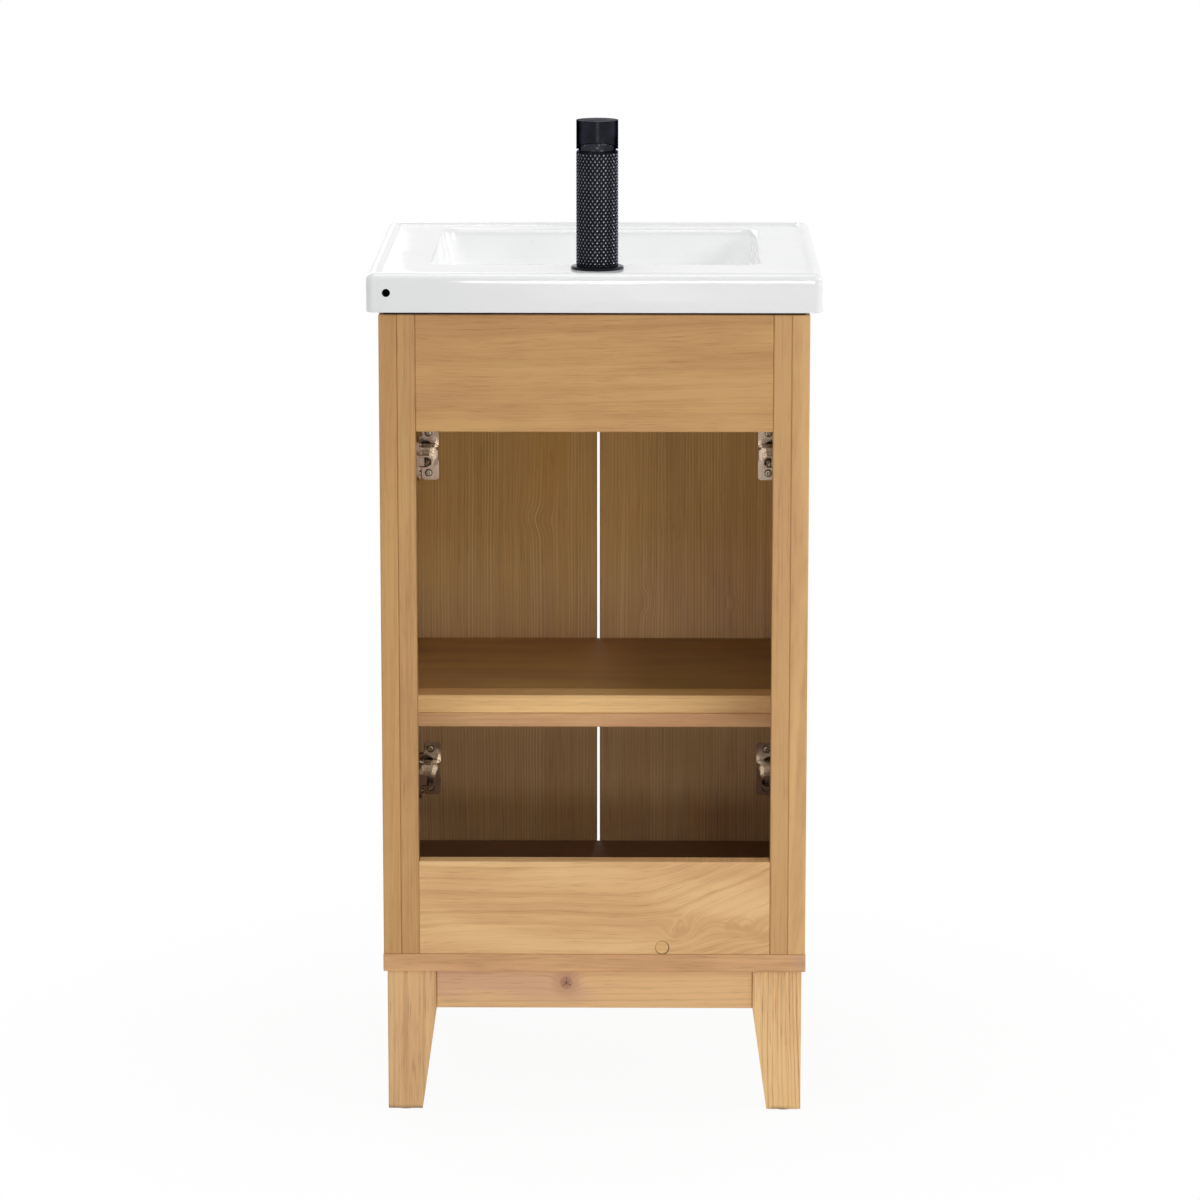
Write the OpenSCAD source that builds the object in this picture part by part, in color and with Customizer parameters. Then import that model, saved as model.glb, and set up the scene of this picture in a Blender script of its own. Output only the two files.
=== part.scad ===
// Small wooden washstand cabinet with an open back, two doors, a ceramic basin top and a tap.
// The front faces -Y and the open back faces +Y. Depths are measured from the back of the wooden box.

/* [Cabinet box] */
// Outside width of the wooden box
box_w = 440; // [400:5:560]
// Depth of a side panel, from the back of the box to its front edge
side_d = 410.5; // [380:0.5:500]
// Height of the top of the box above the floor
box_top = 844; // [780:1:900]
// Thickness of a side panel
side_t = 18.5; // [15:0.5:22]
// Width of a back post, seen from behind
post_w = 18.7; // [15:0.1:30]
// Thickness of a back post, front to back
post_t = 19; // [15:0.5:30]
// Thickness of the base board and of the floor board
board_t = 19; // [15:0.5:25]
// Height of the back rail under the basin
top_rail_h = 120.5; // [90:0.5:140]
// Height of the back rail at the bottom
low_rail_h = 99.7; // [60:0.1:140]
// Thickness of the rails
rail_t = 20; // [15:0.5:24]
// How far the rail behind the front panel reaches down behind the doors
front_rail_lap = 15; // [13:1:30]
// Thickness of that rail
front_rail_t = 15; // [12:0.5:16]
// How far the base board stands out at each side of the box
base_side_over = 0.6; // [0:0.1:2]
// How far the base board stands out in front of the doors
base_front_over = 1; // [0:0.5:3]
// Radius of the eased edges of a board
ease_r = 1.4; // [0.8:0.1:3]
// Radius of the eased edges of a door
door_ease_r = 2; // [1.8:0.1:3]
// Radius of the upright edges of a leg
leg_ease_r = 2; // [1:0.1:4]
// Side of a corner block
block_w = 42; // [30:1:60]
// Height of a corner block
block_h = 38; // [25:1:60]
// Diameter of the wooden plug in the bottom rail
plug_dia = 13; // [8:0.5:16]
// Depth of the wooden plug
plug_deep = 8; // [5:0.5:12]
// Distance of the plug from the middle of the cabinet
plug_off = 70.5; // [30:0.5:140]
// Height of the middle of the plug over the bottom edge of its rail
plug_up = 7.6; // [7.5:0.1:40]

/* [Shelf] */
// Height of the top of the shelf above the floor
shelf_top = 423.1; // [340:0.1:520]
// Thickness of the shelf board
shelf_t = 19.2; // [15:0.1:22]
// Distance of the back edge of the shelf from the back of the box
shelf_back = 112.8; // [60:0.1:160]
// Width of the lipping along the back edge of the shelf
lip_w = 34; // [20:1:50]
// Height of the rail under the lipping
shelf_rail_h = 15.2; // [12:0.1:25]
// Width of a side cleat under the shelf
cleat_w = 18; // [12:1:30]
// Distance of the cleats' front ends from the front edge of the side panels
cleat_front = 12; // [5:1:80]

/* [Legs] */
// Height of the legs
leg_h = 152; // [120:1:200]
// Width of a leg at its top
leg_w = 51; // [44:0.5:60]
// Width of a leg at the floor
foot_w = 35.6; // [30:0.2:42]
// Set-back of a leg from the side of the box
leg_in = 3.4; // [2:0.1:8]
// Set-back of a leg from the back and from the front of the base board
leg_back = 4; // [2:0.5:10]
// Height of an apron
apron_h = 41.5; // [30:0.5:60]
// Thickness of an apron
apron_t = 18; // [14:0.5:22]
// Set-back of an apron from the face of the legs
apron_in = 4; // [2:0.5:10]
// Diameter of a foot glide
glide_dia = 26; // [18:1:28]
// Thickness of a foot glide
glide_t = 2; // [1.5:0.5:4]
// Distance of a leg bolt from the two outer faces of its leg
leg_bolt_in = 25.5; // [20:0.5:30]
// Diameter of a leg bolt
leg_bolt_dia = 8; // [6:1:10]
// Length of a leg bolt under its head
leg_bolt_len = 56; // [45:1:80]
// Diameter of the head of a leg bolt
leg_bolt_head_dia = 16; // [13:0.5:20]
// Height of the head of a leg bolt
leg_bolt_head_h = 5; // [3:0.5:7]

/* [Doors] */
// Thickness of a door
door_t = 18; // [17:0.5:22]
// Gap between the back of a door and the front edge of a side panel
door_gap = 3.5; // [3.4:0.1:6]
// Distance of a door's outer edge from the side of the box
door_reveal = 1.3; // [0.5:0.1:2]
// Gap between the two doors
door_split = 3; // [2.5:0.5:5]
// Gap under the doors
door_under = 2.5; // [2:0.5:5]
// Height of the doors
door_h = 557.5; // [540:0.5:562]
// Gap between the doors and the front panel above them
panel_gap = 3; // [2:0.5:5]
// Gap between the front panel and the top of the box
panel_top_gap = 2; // [1:0.5:4]
// Thickness of a stick-on door bumper
bumper_t = 1.5; // [1:0.1:2.5]
// Diameter of a door bumper
bumper_dia = 8; // [6:0.5:9]
// Distance of a door bumper from the end of the rail and from the inner edge of its door
bumper_in = 25; // [10:1:60]
// Diameter of a door knob
knob_dia = 27; // [20:1:40]
// Diameter of the neck of a door knob
knob_neck_dia = 13; // [10:0.5:18]
// How far a knob stands out from its door
knob_out = 22; // [16:0.5:28]
// Distance of a knob from the inner edge of its door
knob_in = 32; // [25:1:60]
// Distance of a knob from the top of its door
knob_down = 60; // [45:1:150]
// Height of the round head of a knob
knob_head_h = 6; // [4:0.5:8]
// Height of the flare between the neck and the head of a knob
knob_flare_h = 3; // [1:0.5:4]
// Diameter of a knob screw
knob_screw_dia = 4; // [3:0.5:5]
// Height of the head of a knob screw
knob_screw_head_h = 2.2; // [1.5:0.1:3]
// Length of a knob screw inside its knob
knob_screw_in = 12; // [6:0.5:12]

/* [Hinges] */
// Distance of each hinge from the nearer end of its door
hinge_end = 98.8; // [70:0.1:140]
// Diameter of the hinge cup's bore in the door
cup_dia = 35; // [34:0.5:36]
// Depth of the hinge cup
cup_deep = 12; // [11.5:0.1:13]
// Wall of the hinge cup
cup_wall = 0.8; // [0.6:0.1:1]
// Distance of the cup's middle from the outer edge of the door
cup_set = 20.5; // [20:0.1:22]
// Distance of the hinge pin from the outer edge of the door
pin_in = 8.5; // [8.2:0.1:8.7]
// Depth of the hinge pin below the back of the door
pin_deep = 7.5; // [7.2:0.1:7.7]
// Diameter of the hinge pin
pin_dia = 3; // [2.5:0.1:3.2]
// Diameter of the knuckle round the pin
knuckle_dia = 6.4; // [5.8:0.1:6.6]
// Width of the knuckle
knuckle_w = 11; // [8:0.5:12]
// Height of the screw flange of a cup
flange_h = 60.7; // [58:0.1:66]
// Width of the screw flange of a cup
flange_w = 18.7; // [17:0.1:22]
// Distance of the flange's inner edge from its screws
flange_in = 11.4; // [10:0.1:13]
// Thickness of the screw flange
flange_t = 1.2; // [0.8:0.1:1.6]
// Distance between the two flange screws
flange_screws = 45; // [42:0.5:48]
// Distance of the flange screws from the middle of the cup
flange_screw_off = 9.5; // [9:0.1:11]
// Diameter of the head of a hinge screw
hinge_head_dia = 7; // [6:0.5:8]
// Height of the head of a hinge screw
hinge_head_h = 1.7; // [1.2:0.1:2]
// Diameter of the shank of a hinge screw
hinge_screw_dia = 3; // [2.5:0.1:3.5]
// Length of a hinge screw in the wood
hinge_screw_len = 11; // [8:0.5:14]
// How far a hinge arm stands out from its mounting plate
arm_out = 19; // [17:0.1:21]
// Length of a hinge arm behind the door
arm_len = 60; // [55:1:70]
// Length of the wide front part of a hinge arm
hood_len = 26; // [20:1:32]
// Width of that front part at its mounting plate
arm_w = 21; // [19:0.5:24]
// Width of the narrow rear part of a hinge arm
arm_tail_w = 14; // [13.5:0.5:15]
// How far the rear part stands out from the mounting plate
arm_tail_out = 15; // [13:0.5:16]
// Depth of the bevels along a hinge arm
arm_bevel = 4; // [2:0.5:6]
// Wall of a hinge arm
arm_wall = 1.4; // [1:0.1:1.6]
// Length of the hook from the pin to where it turns out of the cup
hook_len = 11.6; // [11:0.1:12]
// Thickness of that hook
hook_t = 3; // [2.4:0.1:3.2]
// Thickness of a mounting plate
plate_t = 5; // [3.5:0.1:5.5]
// Length of a mounting plate along the side panel
plate_len = 42; // [38:0.5:44]
// Width of the middle of a mounting plate
plate_mid_w = 14; // [12:0.5:16]
// Width of a mounting plate's two wings
wing_w = 18; // [14:0.5:22]
// Height of the block on a mounting plate that carries the arm
plate_block_h = 6; // [4:0.5:10]
// Width of that block
plate_block_w = 10; // [8:0.5:10.5]
// Length of that block
plate_block_len = 38; // [28:1:39]
// Distance of the block from the front end of the arm
plate_block_in = 20; // [16:1:20]
// Height of a mounting plate over its two wings
plate_h = 48; // [44:0.5:56]
// Distance between the two screws of a mounting plate
plate_screws = 32; // [30:0.5:34]
// Distance of the mounting plate's middle from the front edge of the side panel
plate_set = 37; // [34:0.5:42]

/* [Basin top] */
// How far the ceramic stands out at each side of the box
sink_side_over = 12.25; // [4:0.25:20]
// How far the ceramic stands out in front of the doors
sink_front_over = 10; // [4:0.5:20]
// Height of the ceramic slab's edge
sink_h = 40.4; // [30:0.1:60]
// How far the ceramic stands out behind the box
sink_over = 3; // [0:0.5:12]
// Thickness of the sealing strip under the ceramic
seal_t = 2.4; // [1.5:0.1:4]
// Width of the sealing strip
seal_w = 11; // [6:0.5:15]
// Set-back of the sealing strip from the edge of the box
seal_in = 5; // [3:0.5:6]
// Radius of the upper edge of the slab
sink_edge_r = 7.5; // [3:0.5:9]
// Radius of the upright corners of the slab
sink_corner_r = 7; // [4:0.5:15]
// Width of the raised rim of the slab
rim_w = 13; // [10:0.5:16]
// Height of the raised rim over the deck
rim_h = 2.5; // [1:0.1:5]
// Distance from the end of the slab to the basin's opening
basin_side = 61.25; // [52:0.25:90]
// Distance from the front edge of the slab to the basin's opening
basin_front = 50; // [48:0.5:90]
// Distance from the back of the box to the basin's opening
basin_back = 92; // [88:0.5:110]
// Depth of the basin under the deck
basin_deep = 108; // [80:1:120]
// Corner radius of the basin's opening
basin_corner_r = 20; // [14:1:60]
// Radius between the basin's walls and its floor
basin_floor_r = 38; // [25:1:45]
// How far the basin's walls lean in from the opening to the floor
basin_lean = 14; // [8:1:30]
// Height of the upright part at the basin's mouth
mouth_h = 4; // [2:0.5:8]
// Wall of the ceramic basin
basin_wall = 9; // [7:0.5:11]
// Diameter of the kiln vent hole in the back edge
vent_dia = 8.3; // [5:0.1:12]
// Depth of the vent hole
vent_deep = 14; // [8:1:30]
// Distance of the vent hole from the end of the slab
vent_in = 20.6; // [12:0.1:40]
// Height of the vent hole above the underside of the slab
vent_up = 20.4; // [10:0.1:28]

/* [Drain] */
// Diameter of the drain hole in the basin
drain_hole_dia = 46; // [44:0.5:50]
// Diameter of the drain flange
drain_flange_dia = 64; // [56:0.5:72]
// Thickness of the drain flange
drain_flange_t = 2; // [1.5:0.1:3]
// Outside diameter of the drain body
drain_body_dia = 40; // [36:0.5:42]
// Wall of the drain body
drain_wall = 2.5; // [2:0.1:3]
// Outside diameter of the tail that takes the trap
tail_dia = 32; // [30:0.5:34]
// Wall of the tail
tail_wall = 1.6; // [1.2:0.1:2]
// Length of the drain body above its tail
drain_body_len = 52; // [46:1:60]
// Length of the tail
tail_len = 34; // [20:1:60]
// Diameter of the stopper
stopper_dia = 44; // [42.5:0.5:54]
// Thickness of the stopper
stopper_t = 4; // [3:0.5:6]
// Diameter of the stopper's stem
stopper_stem_dia = 6; // [4:0.5:10]
// Travel of the stopper
stopper_travel = 8; // [4:0.5:10]
// Width of the bridge that guides the stopper
bridge_w = 12; // [11:0.5:16]
// Height of that bridge
bridge_t = 4; // [3:0.5:6]
// Height of that bridge over the lower end of the drain body
bridge_up = 12; // [11.5:0.5:20]
// Width of the ceramic left round the drain nut's flat seat
seat_edge = 1.5; // [1:0.1:4]
// Thickness of the rubber washer under the basin
gasket_t = 4; // [3:0.5:6]
// Height of the drain nut
drain_nut_h = 9; // [6:0.5:14]
// Width across the drain nut
drain_nut_dia = 60; // [54:1:70]

/* [Tap] */
// Distance of the tap from the back of the box
tap_back = 60; // [54:0.5:62]
// Sideways distance of the tap from the middle
tap_side = 2.5; // [0:0.5:10]
// Diameter of the tap's base ring
tap_ring_dia = 54.4; // [48:0.2:56]
// Height of the tap's base ring
tap_ring_h = 2.8; // [2:0.1:8]
// Diameter of the knurled body
tap_dia = 43.6; // [40:0.2:46]
// Height of the knurled body over its ring
tap_h = 118.4; // [100:0.1:150]
// Diameter of the handle cap
cap_dia = 43; // [40:0.5:46]
// Height of the handle cap
cap_h = 29.8; // [26:0.1:36]
// Gap between the body and the handle cap
cap_gap = 1.5; // [1:0.1:3]
// Height of the slope cut in the back of the handle cap
cap_cut_h = 8.4; // [6:0.1:10]
// Wall of the handle cap
cap_wall = 1.5; // [1.4:0.1:1.6]
// Thickness of the top of the handle cap
cap_top_t = 3.3; // [2:0.1:4]
// Height of the tilt pin over the bottom of the handle cap
tilt_up = 2.8; // [2.6:0.1:6]
// Diameter of the tilt pin
tilt_pin_dia = 3; // [2:0.1:4]
// Diameter of the dome under the handle cap
dome_dia = 39.4; // [37:0.2:39.4]
// Diameter of the valve cartridge
cartridge_dia = 33; // [31.5:0.1:33.2]
// Height of the valve cartridge
cartridge_h = 28; // [22:0.5:36]
// How far the cartridge lies below the top of the body
cartridge_sink = 2.5; // [1:0.1:4]
// Diameter of the valve stem
stem_dia = 14; // [10:0.5:16]
// Gap left in the cartridge under the valve stem
stem_gap = 3; // [1:0.5:6]
// Diameter of the lever rod
lever_dia = 7; // [5:0.5:9]
// How far the lever stands out from the handle cap
lever_out = 48; // [30:1:70]
// Height of the lever over the bottom of the handle cap
lever_up = 18; // [14:0.5:19]
// Outside diameter of the spout
spout_dia = 24; // [18:0.5:28]
// Wall of the spout
spout_wall = 3; // [2:0.5:4]
// Length of the spout's solid inner end, in the body
spout_root = 6; // [4:0.5:12]
// How far the spout reaches from the middle of the body
spout_len = 128; // [100:1:160]
// Height of the middle of the spout over the base ring
spout_up = 69.9; // [55:0.1:71]
// Diameter of the aerator
aerator_dia = 19; // [16:0.5:20]
// How far the aerator hangs under the spout
aerator_h = 6; // [4:0.5:12]
// How far the aerator reaches up in the spout
aerator_up = 6; // [4:0.5:9]
// Width of the aerator's rim
aerator_rim = 2.5; // [1:0.1:4]
// Depth of the aerator's mouth
aerator_mouth = 3; // [1:0.5:5]
// Distance of the aerator's middle from a round end of the spout
aerator_in = 3; // [1:0.5:8]
// Diameter of the mounting stud
stud_dia = 10; // [8:0.5:12]
// Length of the mounting stud under the deck
stud_len = 78; // [66:1:95]
// Length of the mounting stud above the deck, inside the body
stud_in = 18; // [14:1:30]
// Diameter of the tap hole in the deck
tap_hole_dia = 34; // [32:0.5:36]
// Diameter of the stud's washer
stud_washer_dia = 44; // [40:0.5:46]
// Thickness of the stud's washer
stud_washer_t = 2.5; // [2:0.1:4]
// Width across the stud's nut
stud_nut_dia = 20; // [17:0.5:24]
// Height of the stud's nut
stud_nut_h = 9; // [7:0.5:12]

/* [Fits] */
// Clearance round a part that turns or slides
run_fit = 0.08; // [0.04:0.01:0.1]
// Clearance round a part that is dropped or screwed in
drop_fit = 0.2; // [0.1:0.01:0.3]
// Clearance round a pin that is pressed in
pin_fit = 0.02; // [0:0.01:0.03]
// Gap under a part that comes to rest on another
seat_gap = 0.3; // [0.1:0.05:0.4]

/* [Hidden] */
$fn = 64;

wood = "burlywood";
steel = "silver";
black = "#26282c";

// Half sizes and planes. Y is 0 at the back of the box here, and minus towards the front.
half_w = box_w / 2;
inner_w = half_w - side_t;
open_w = inner_w - post_w;
door_back = -(side_d + door_gap);
door_front = door_back - door_t;
knob_face = door_front - knob_out;
sink_w = box_w + 2 * sink_side_over;
sink_front = door_front - sink_front_over;
sink_d = sink_over - sink_front;
front_most = min(knob_face, sink_front);
back_y = -(front_most + sink_over) / 2;

base_top = leg_h + board_t;
floor_top = base_top + board_t;
door_z = base_top + door_under;
door_top = door_z + door_h;
panel_z = door_top + panel_gap;
panel_h = box_top - panel_top_gap - panel_z;
rail_face = door_back + bumper_t;
door_out = half_w - door_reveal;
base_front = door_front - base_front_over;
slab_z = box_top + seal_t;
slab_top = slab_z + sink_h;
deck_z = slab_top - rim_h;
ring_z = deck_z;
body_z = ring_z + tap_ring_h;
body_top = body_z + tap_h;
cartridge_top = body_top - cartridge_sink;
cap_z = body_top + cap_gap;
cap_r = cap_dia / 2;
tilt_z = cap_z + tilt_up;
basin_w = sink_w - 2 * basin_side;
basin_d = -sink_front - basin_front - basin_back;
basin_mid = -(basin_back + basin_d / 2);
basin_floor = deck_z - basin_deep;
basin_under = basin_floor - basin_wall;
drain_top = basin_floor + drain_flange_t;
drain_z = drain_top - drain_body_len;
guide_z = drain_z + bridge_up;
nut_bottom = basin_under - gasket_t - drain_nut_h;
hinge_zs = [door_z + hinge_end, door_top - hinge_end];
bolt_head_z = base_top - leg_bolt_head_h;
bolt_x = half_w - leg_in - leg_bolt_in;
bolt_back = -(leg_back + leg_bolt_in);
bolt_front = base_front + leg_back + leg_bolt_in;
glide_x = half_w - leg_in - foot_w / 2;
front_rail_back = rail_face + front_rail_t;
guide_foot = guide_z - stopper_travel - 1;
knob_x = door_split / 2 + knob_in;
knob_z = door_top - knob_down;

// Places at a hinge, from the hinge pin: the cup, its screws, the side panel's face and the arm
cup_x = pin_in - cup_set;
screw_x = cup_x - flange_screw_off;
wall_x = inner_w - door_out + pin_in;
edge_y = pin_deep + door_gap;
arm_x = wall_x - plate_t - drop_fit;
arm_y = edge_y + seat_gap;
plate_y = edge_y + plate_set;

// Small steps of the hinge cup: rim, lugs and corners
cup_r = cup_dia / 2 - drop_fit / 2;
cup_rim_w = 1.2;
cup_rim_t = 0.8;
lug_t = 3;
lug_r = 3.4;
lug_z = knuckle_w / 2 + seat_gap;
pin_half = lug_z + lug_t;
flange_r = 4;
wing_r = 6;

// Small steps of a knob
knob_foot_w = 1.5;
knob_foot_h = 2;
knob_edge = 1;

// Half length of the tilt pin, and the step where the drain body narrows to its tail
tilt_pin_half = cap_r - 0.6;
tail_step = 3;
aerator_y = -spout_len + spout_dia / 2 + aerator_in;

// Everything is drawn from the back of the box, then moved so that the middle lies on the origin.
module placed() {
  translate([0, back_y, 0]) children();
}

// A rectangle with round corners, made of straight and round pieces only
module round_rect(w, h, r) {
  translate([r, 0]) square([w - 2 * r, h]);
  translate([0, r]) square([w, h - 2 * r]);
  for (x = [r, w - r], y = [r, h - r]) translate([x, y]) circle(r);
}

// A board from one corner, with every long edge eased to the radius r
module board(size, r = ease_r) {
  intersection() {
    linear_extrude(size[2]) round_rect(size[0], size[1], r);
    translate([0, size[1], 0]) rotate([90, 0, 0])
      linear_extrude(size[1]) round_rect(size[0], size[2], r);
    rotate([90, 0, 90]) linear_extrude(size[0]) round_rect(size[1], size[2], r);
  }
}

// A board between two opposite corners
module board_from(lo, hi, r = ease_r) {
  translate(lo) board(hi - lo, r);
}

// A mirror to the other side of the cabinet where side is -1
module on_side(side) {
  mirror([side < 0 ? 1 : 0, 0, 0]) children();
}

// A tube round Z from height z, with a bore right through
module tube(r_out, r_in, h, z = 0) {
  translate([0, 0, z]) difference() {
    cylinder(r = r_out, h = h);
    translate([0, 0, -1]) cylinder(r = r_in, h = h + 2);
  }
}

module side_panel(side) {
  difference() {
    on_side(side) board_from([inner_w, -side_d, base_top], [half_w, 0, box_top]);
    at_hinges(side) at_plate_screws() translate([0, 0, -1])
      cylinder(d = hinge_screw_dia + drop_fit, h = hinge_screw_len + 2);
  }
}

module back_post(side) {
  on_side(side) board_from([open_w, -post_t, base_top], [inner_w, 0, box_top]);
}

module back_top_rail() {
  color(wood) placed() board_from([-open_w, -rail_t, box_top - top_rail_h], [open_w, 0, box_top]);
}

module back_low_rail() {
  color(wood) placed() difference() {
    board_from([-open_w, -rail_t, base_top], [open_w, 0, base_top + low_rail_h]);
    plug_place() translate([0, 0, -1]) cylinder(d = plug_dia + drop_fit, h = plug_deep + 1);
  }
}

// The plug's hole starts at the back face and runs in towards the front
module plug_place() {
  translate([-plug_off, 0, base_top + plug_up]) rotate([90, 0, 0]) children();
}

module rail_plug() {
  color("tan") placed() plug_place() cylinder(d = plug_dia, h = plug_deep);
}

module base_board() {
  color(wood) placed() difference() {
    board_from([-half_w - base_side_over, base_front, leg_h], [half_w + base_side_over, 0, base_top]);
    for (x = [-bolt_x, bolt_x], y = [bolt_back, bolt_front]) translate([x, y, 0]) {
      translate([0, 0, leg_h - 1]) cylinder(d = leg_bolt_dia + 2 * drop_fit, h = board_t + 2);
      translate([0, 0, bolt_head_z])
        cylinder(d = leg_bolt_head_dia + 2 * drop_fit, h = leg_bolt_head_h + 1);
    }
  }
}

module floor_board() {
  color(wood) placed()
    board_from([-inner_w, -side_d, base_top], [inner_w, -max(rail_t, post_t), floor_top]);
}

module shelf_board() {
  color(wood) placed() board_from([-inner_w, -side_d, shelf_top - shelf_t],
    [inner_w, -shelf_back - lip_w, shelf_top]);
}

module shelf_lipping() {
  color("tan") placed() board_from([-inner_w, -shelf_back - lip_w, shelf_top - shelf_t],
    [inner_w, -shelf_back, shelf_top]);
}

module shelf_rail() {
  color("rosybrown") placed()
    board_from([-inner_w, -shelf_back - lip_w, shelf_top - shelf_t - shelf_rail_h],
      [inner_w, -shelf_back, shelf_top - shelf_t]);
}

module shelf_cleats() {
  color(wood) placed() for (s = [-1, 1]) on_side(s)
    board_from([inner_w - cleat_w, -side_d + cleat_front, shelf_top - shelf_t - shelf_rail_h],
      [inner_w, -shelf_back - lip_w, shelf_top - shelf_t]);
}

module front_rail() {
  color(wood) placed() board_from([-inner_w, rail_face, door_top - front_rail_lap],
    [inner_w, front_rail_back, box_top]);
}

module front_panel() {
  color(wood) placed() board_from([-door_out, rail_face - door_t, panel_z],
    [door_out, rail_face, panel_z + panel_h], door_ease_r);
}

// A corner block is an upright prism with a slanted inner face
module corner_block(back) {
  span = back ? [-rail_t, -rail_t - block_w] : [front_rail_back, front_rail_back + block_w];
  translate([0, 0, box_top - block_h]) linear_extrude(block_h)
    polygon([[inner_w, span[0]], [inner_w, span[1]], [inner_w - block_w, span[0]]]);
}

module corner_blocks() {
  color(wood) placed() for (s = [-1, 1], b = [true, false]) on_side(s) corner_block(b);
}

// A leg is square at the top and tapers on its two inner sides below the apron.
// It is drawn in the back left corner, with its outer corner on the Z axis and its body in -X and -Y.
module leg_shape() {
  taper_h = leg_h - apron_h;
  intersection() {
    translate([-leg_w, -leg_w, glide_t]) linear_extrude(leg_h - glide_t)
      round_rect(leg_w, leg_w, leg_ease_r);
    translate([0, 1, 0]) rotate([90, 0, 0]) linear_extrude(leg_w + 2)
      polygon([[1, 0], [1, leg_h + 1], [-leg_w, leg_h + 1], [-leg_w, taper_h], [-foot_w, 0]]);
    translate([-leg_w - 1, 0, 0]) rotate([90, 0, 90]) linear_extrude(leg_w + 2)
      polygon([[1, 0], [1, leg_h + 1], [-leg_w, leg_h + 1], [-leg_w, taper_h], [-foot_w, 0]]);
  }
}

module leg(side, back) {
  color(wood) placed() on_side(side) difference() {
    translate([half_w - leg_in, back ? -leg_back : base_front + leg_back, 0])
      mirror([0, back ? 0 : 1, 0]) leg_shape();
    translate([bolt_x, back ? bolt_back : bolt_front, bolt_head_z - leg_bolt_len - 1])
      cylinder(d = leg_bolt_dia + 2 * drop_fit, h = leg_bolt_len + board_t);
  }
}

module apron_long(y) {
  end = half_w - leg_in - leg_w;
  color(wood) placed() board_from([-end, y, leg_h - apron_h], [end, y + apron_t, leg_h]);
}

module apron_back() {
  apron_long(-leg_back - apron_in - apron_t);
}

module apron_front() {
  apron_long(base_front + leg_back + apron_in);
}

module apron_side(side) {
  color(wood) placed() on_side(side)
    board_from([half_w - leg_in - apron_in - apron_t, base_front + leg_back + leg_w, leg_h - apron_h],
      [half_w - leg_in - apron_in, -leg_back - leg_w, leg_h]);
}

module leg_bolts() {
  color(steel) placed() for (x = [-bolt_x, bolt_x], y = [bolt_back, bolt_front]) translate([x, y, 0]) {
    translate([0, 0, bolt_head_z]) cylinder(d = leg_bolt_head_dia, h = leg_bolt_head_h - drop_fit);
    translate([0, 0, bolt_head_z - leg_bolt_len]) cylinder(d = leg_bolt_dia, h = leg_bolt_len);
  }
}

module foot_glides() {
  color("dimgray") placed() for (x = [-glide_x, glide_x])
    for (y = [-leg_back - foot_w / 2, base_front + leg_back + foot_w / 2])
      translate([x, y, 0]) cylinder(d = glide_dia, h = glide_t);
}

// The top of the box, taken in by the given distance
module box_outline(inset) {
  translate([-half_w + inset, rail_face + inset]) square([box_w - 2 * inset, -rail_face - 2 * inset]);
}

module sink_seal() {
  color("dimgray") placed() translate([0, 0, box_top]) linear_extrude(seal_t) difference() {
    box_outline(seal_in);
    box_outline(seal_in + seal_w);
  }
}

// The slab: round upright corners, and a round upper edge all the way along
module slab() {
  translate([-sink_w / 2, sink_front, slab_z]) intersection() {
    linear_extrude(sink_h) round_rect(sink_w, sink_d, sink_corner_r);
    translate([0, sink_d, 0]) rotate([90, 0, 0]) linear_extrude(sink_d) edge_profile(sink_w);
    rotate([90, 0, 90]) linear_extrude(sink_w) edge_profile(sink_d);
  }
}

module edge_profile(w) {
  r = sink_edge_r;
  square([w, sink_h - r]);
  translate([r, 0]) square([w - 2 * r, sink_h]);
  for (x = [r, w - r]) translate([x, sink_h - r]) circle(r);
}

// The basin's hollow, or its outside where grow is the wall: a round rectangle over four round corners
module basin_form(grow, top) {
  w = basin_w / 2 + grow - basin_corner_r;
  d = basin_d / 2 + grow - basin_corner_r;
  r = basin_floor_r + grow;
  lw = basin_w / 2 + grow - basin_lean - r;
  ld = basin_d / 2 + grow - basin_lean - r;
  hull() {
    for (x = [-w, w], y = [-d, d]) translate([x, basin_mid + y, deck_z - mouth_h])
      cylinder(r = basin_corner_r, h = top - deck_z + mouth_h, $fn = 32);
    for (x = [-lw, lw], y = [-ld, ld]) translate([x, basin_mid + y, basin_floor - grow + r])
      sphere(r = r, $fn = 32);
  }
}

module sink_top() {
  color("white") placed() difference() {
    union() {
      slab();
      basin_form(basin_wall, deck_z - 1);
      translate([0, basin_mid, basin_under]) cylinder(d = drain_nut_dia + 2 * seat_edge, h = basin_wall);
    }
    translate([-sink_w / 2 + rim_w, sink_front + rim_w, deck_z]) linear_extrude(rim_h + 1)
      round_rect(sink_w - 2 * rim_w, sink_d - 2 * rim_w, sink_corner_r);
    basin_form(0, deck_z + 1);
    translate([0, basin_mid, basin_floor])
      cylinder(d = drain_flange_dia + 2 * drop_fit, h = basin_floor_r);
    translate([0, basin_mid, basin_under - 1]) cylinder(d = drain_hole_dia, h = basin_wall + 2);
    translate([-tap_side, -tap_back, slab_z - 1]) cylinder(d = tap_hole_dia, h = sink_h + 2);
    translate([sink_w / 2 - vent_in, sink_over + 1, slab_z + vent_up]) rotate([90, 0, 0])
      cylinder(d = vent_dia, h = vent_deep + 1);
  }
}

module at_drain() {
  translate([0, basin_mid, 0]) children();
}

module drain_flange() {
  color(black) placed() at_drain()
    tube(drain_flange_dia / 2, drain_body_dia / 2 + run_fit, drain_flange_t, basin_floor);
}

module drain_gasket() {
  color("dimgray") placed() at_drain()
    tube(drain_nut_dia / 2, drain_body_dia / 2 + drop_fit, gasket_t, basin_under - gasket_t);
}

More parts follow.
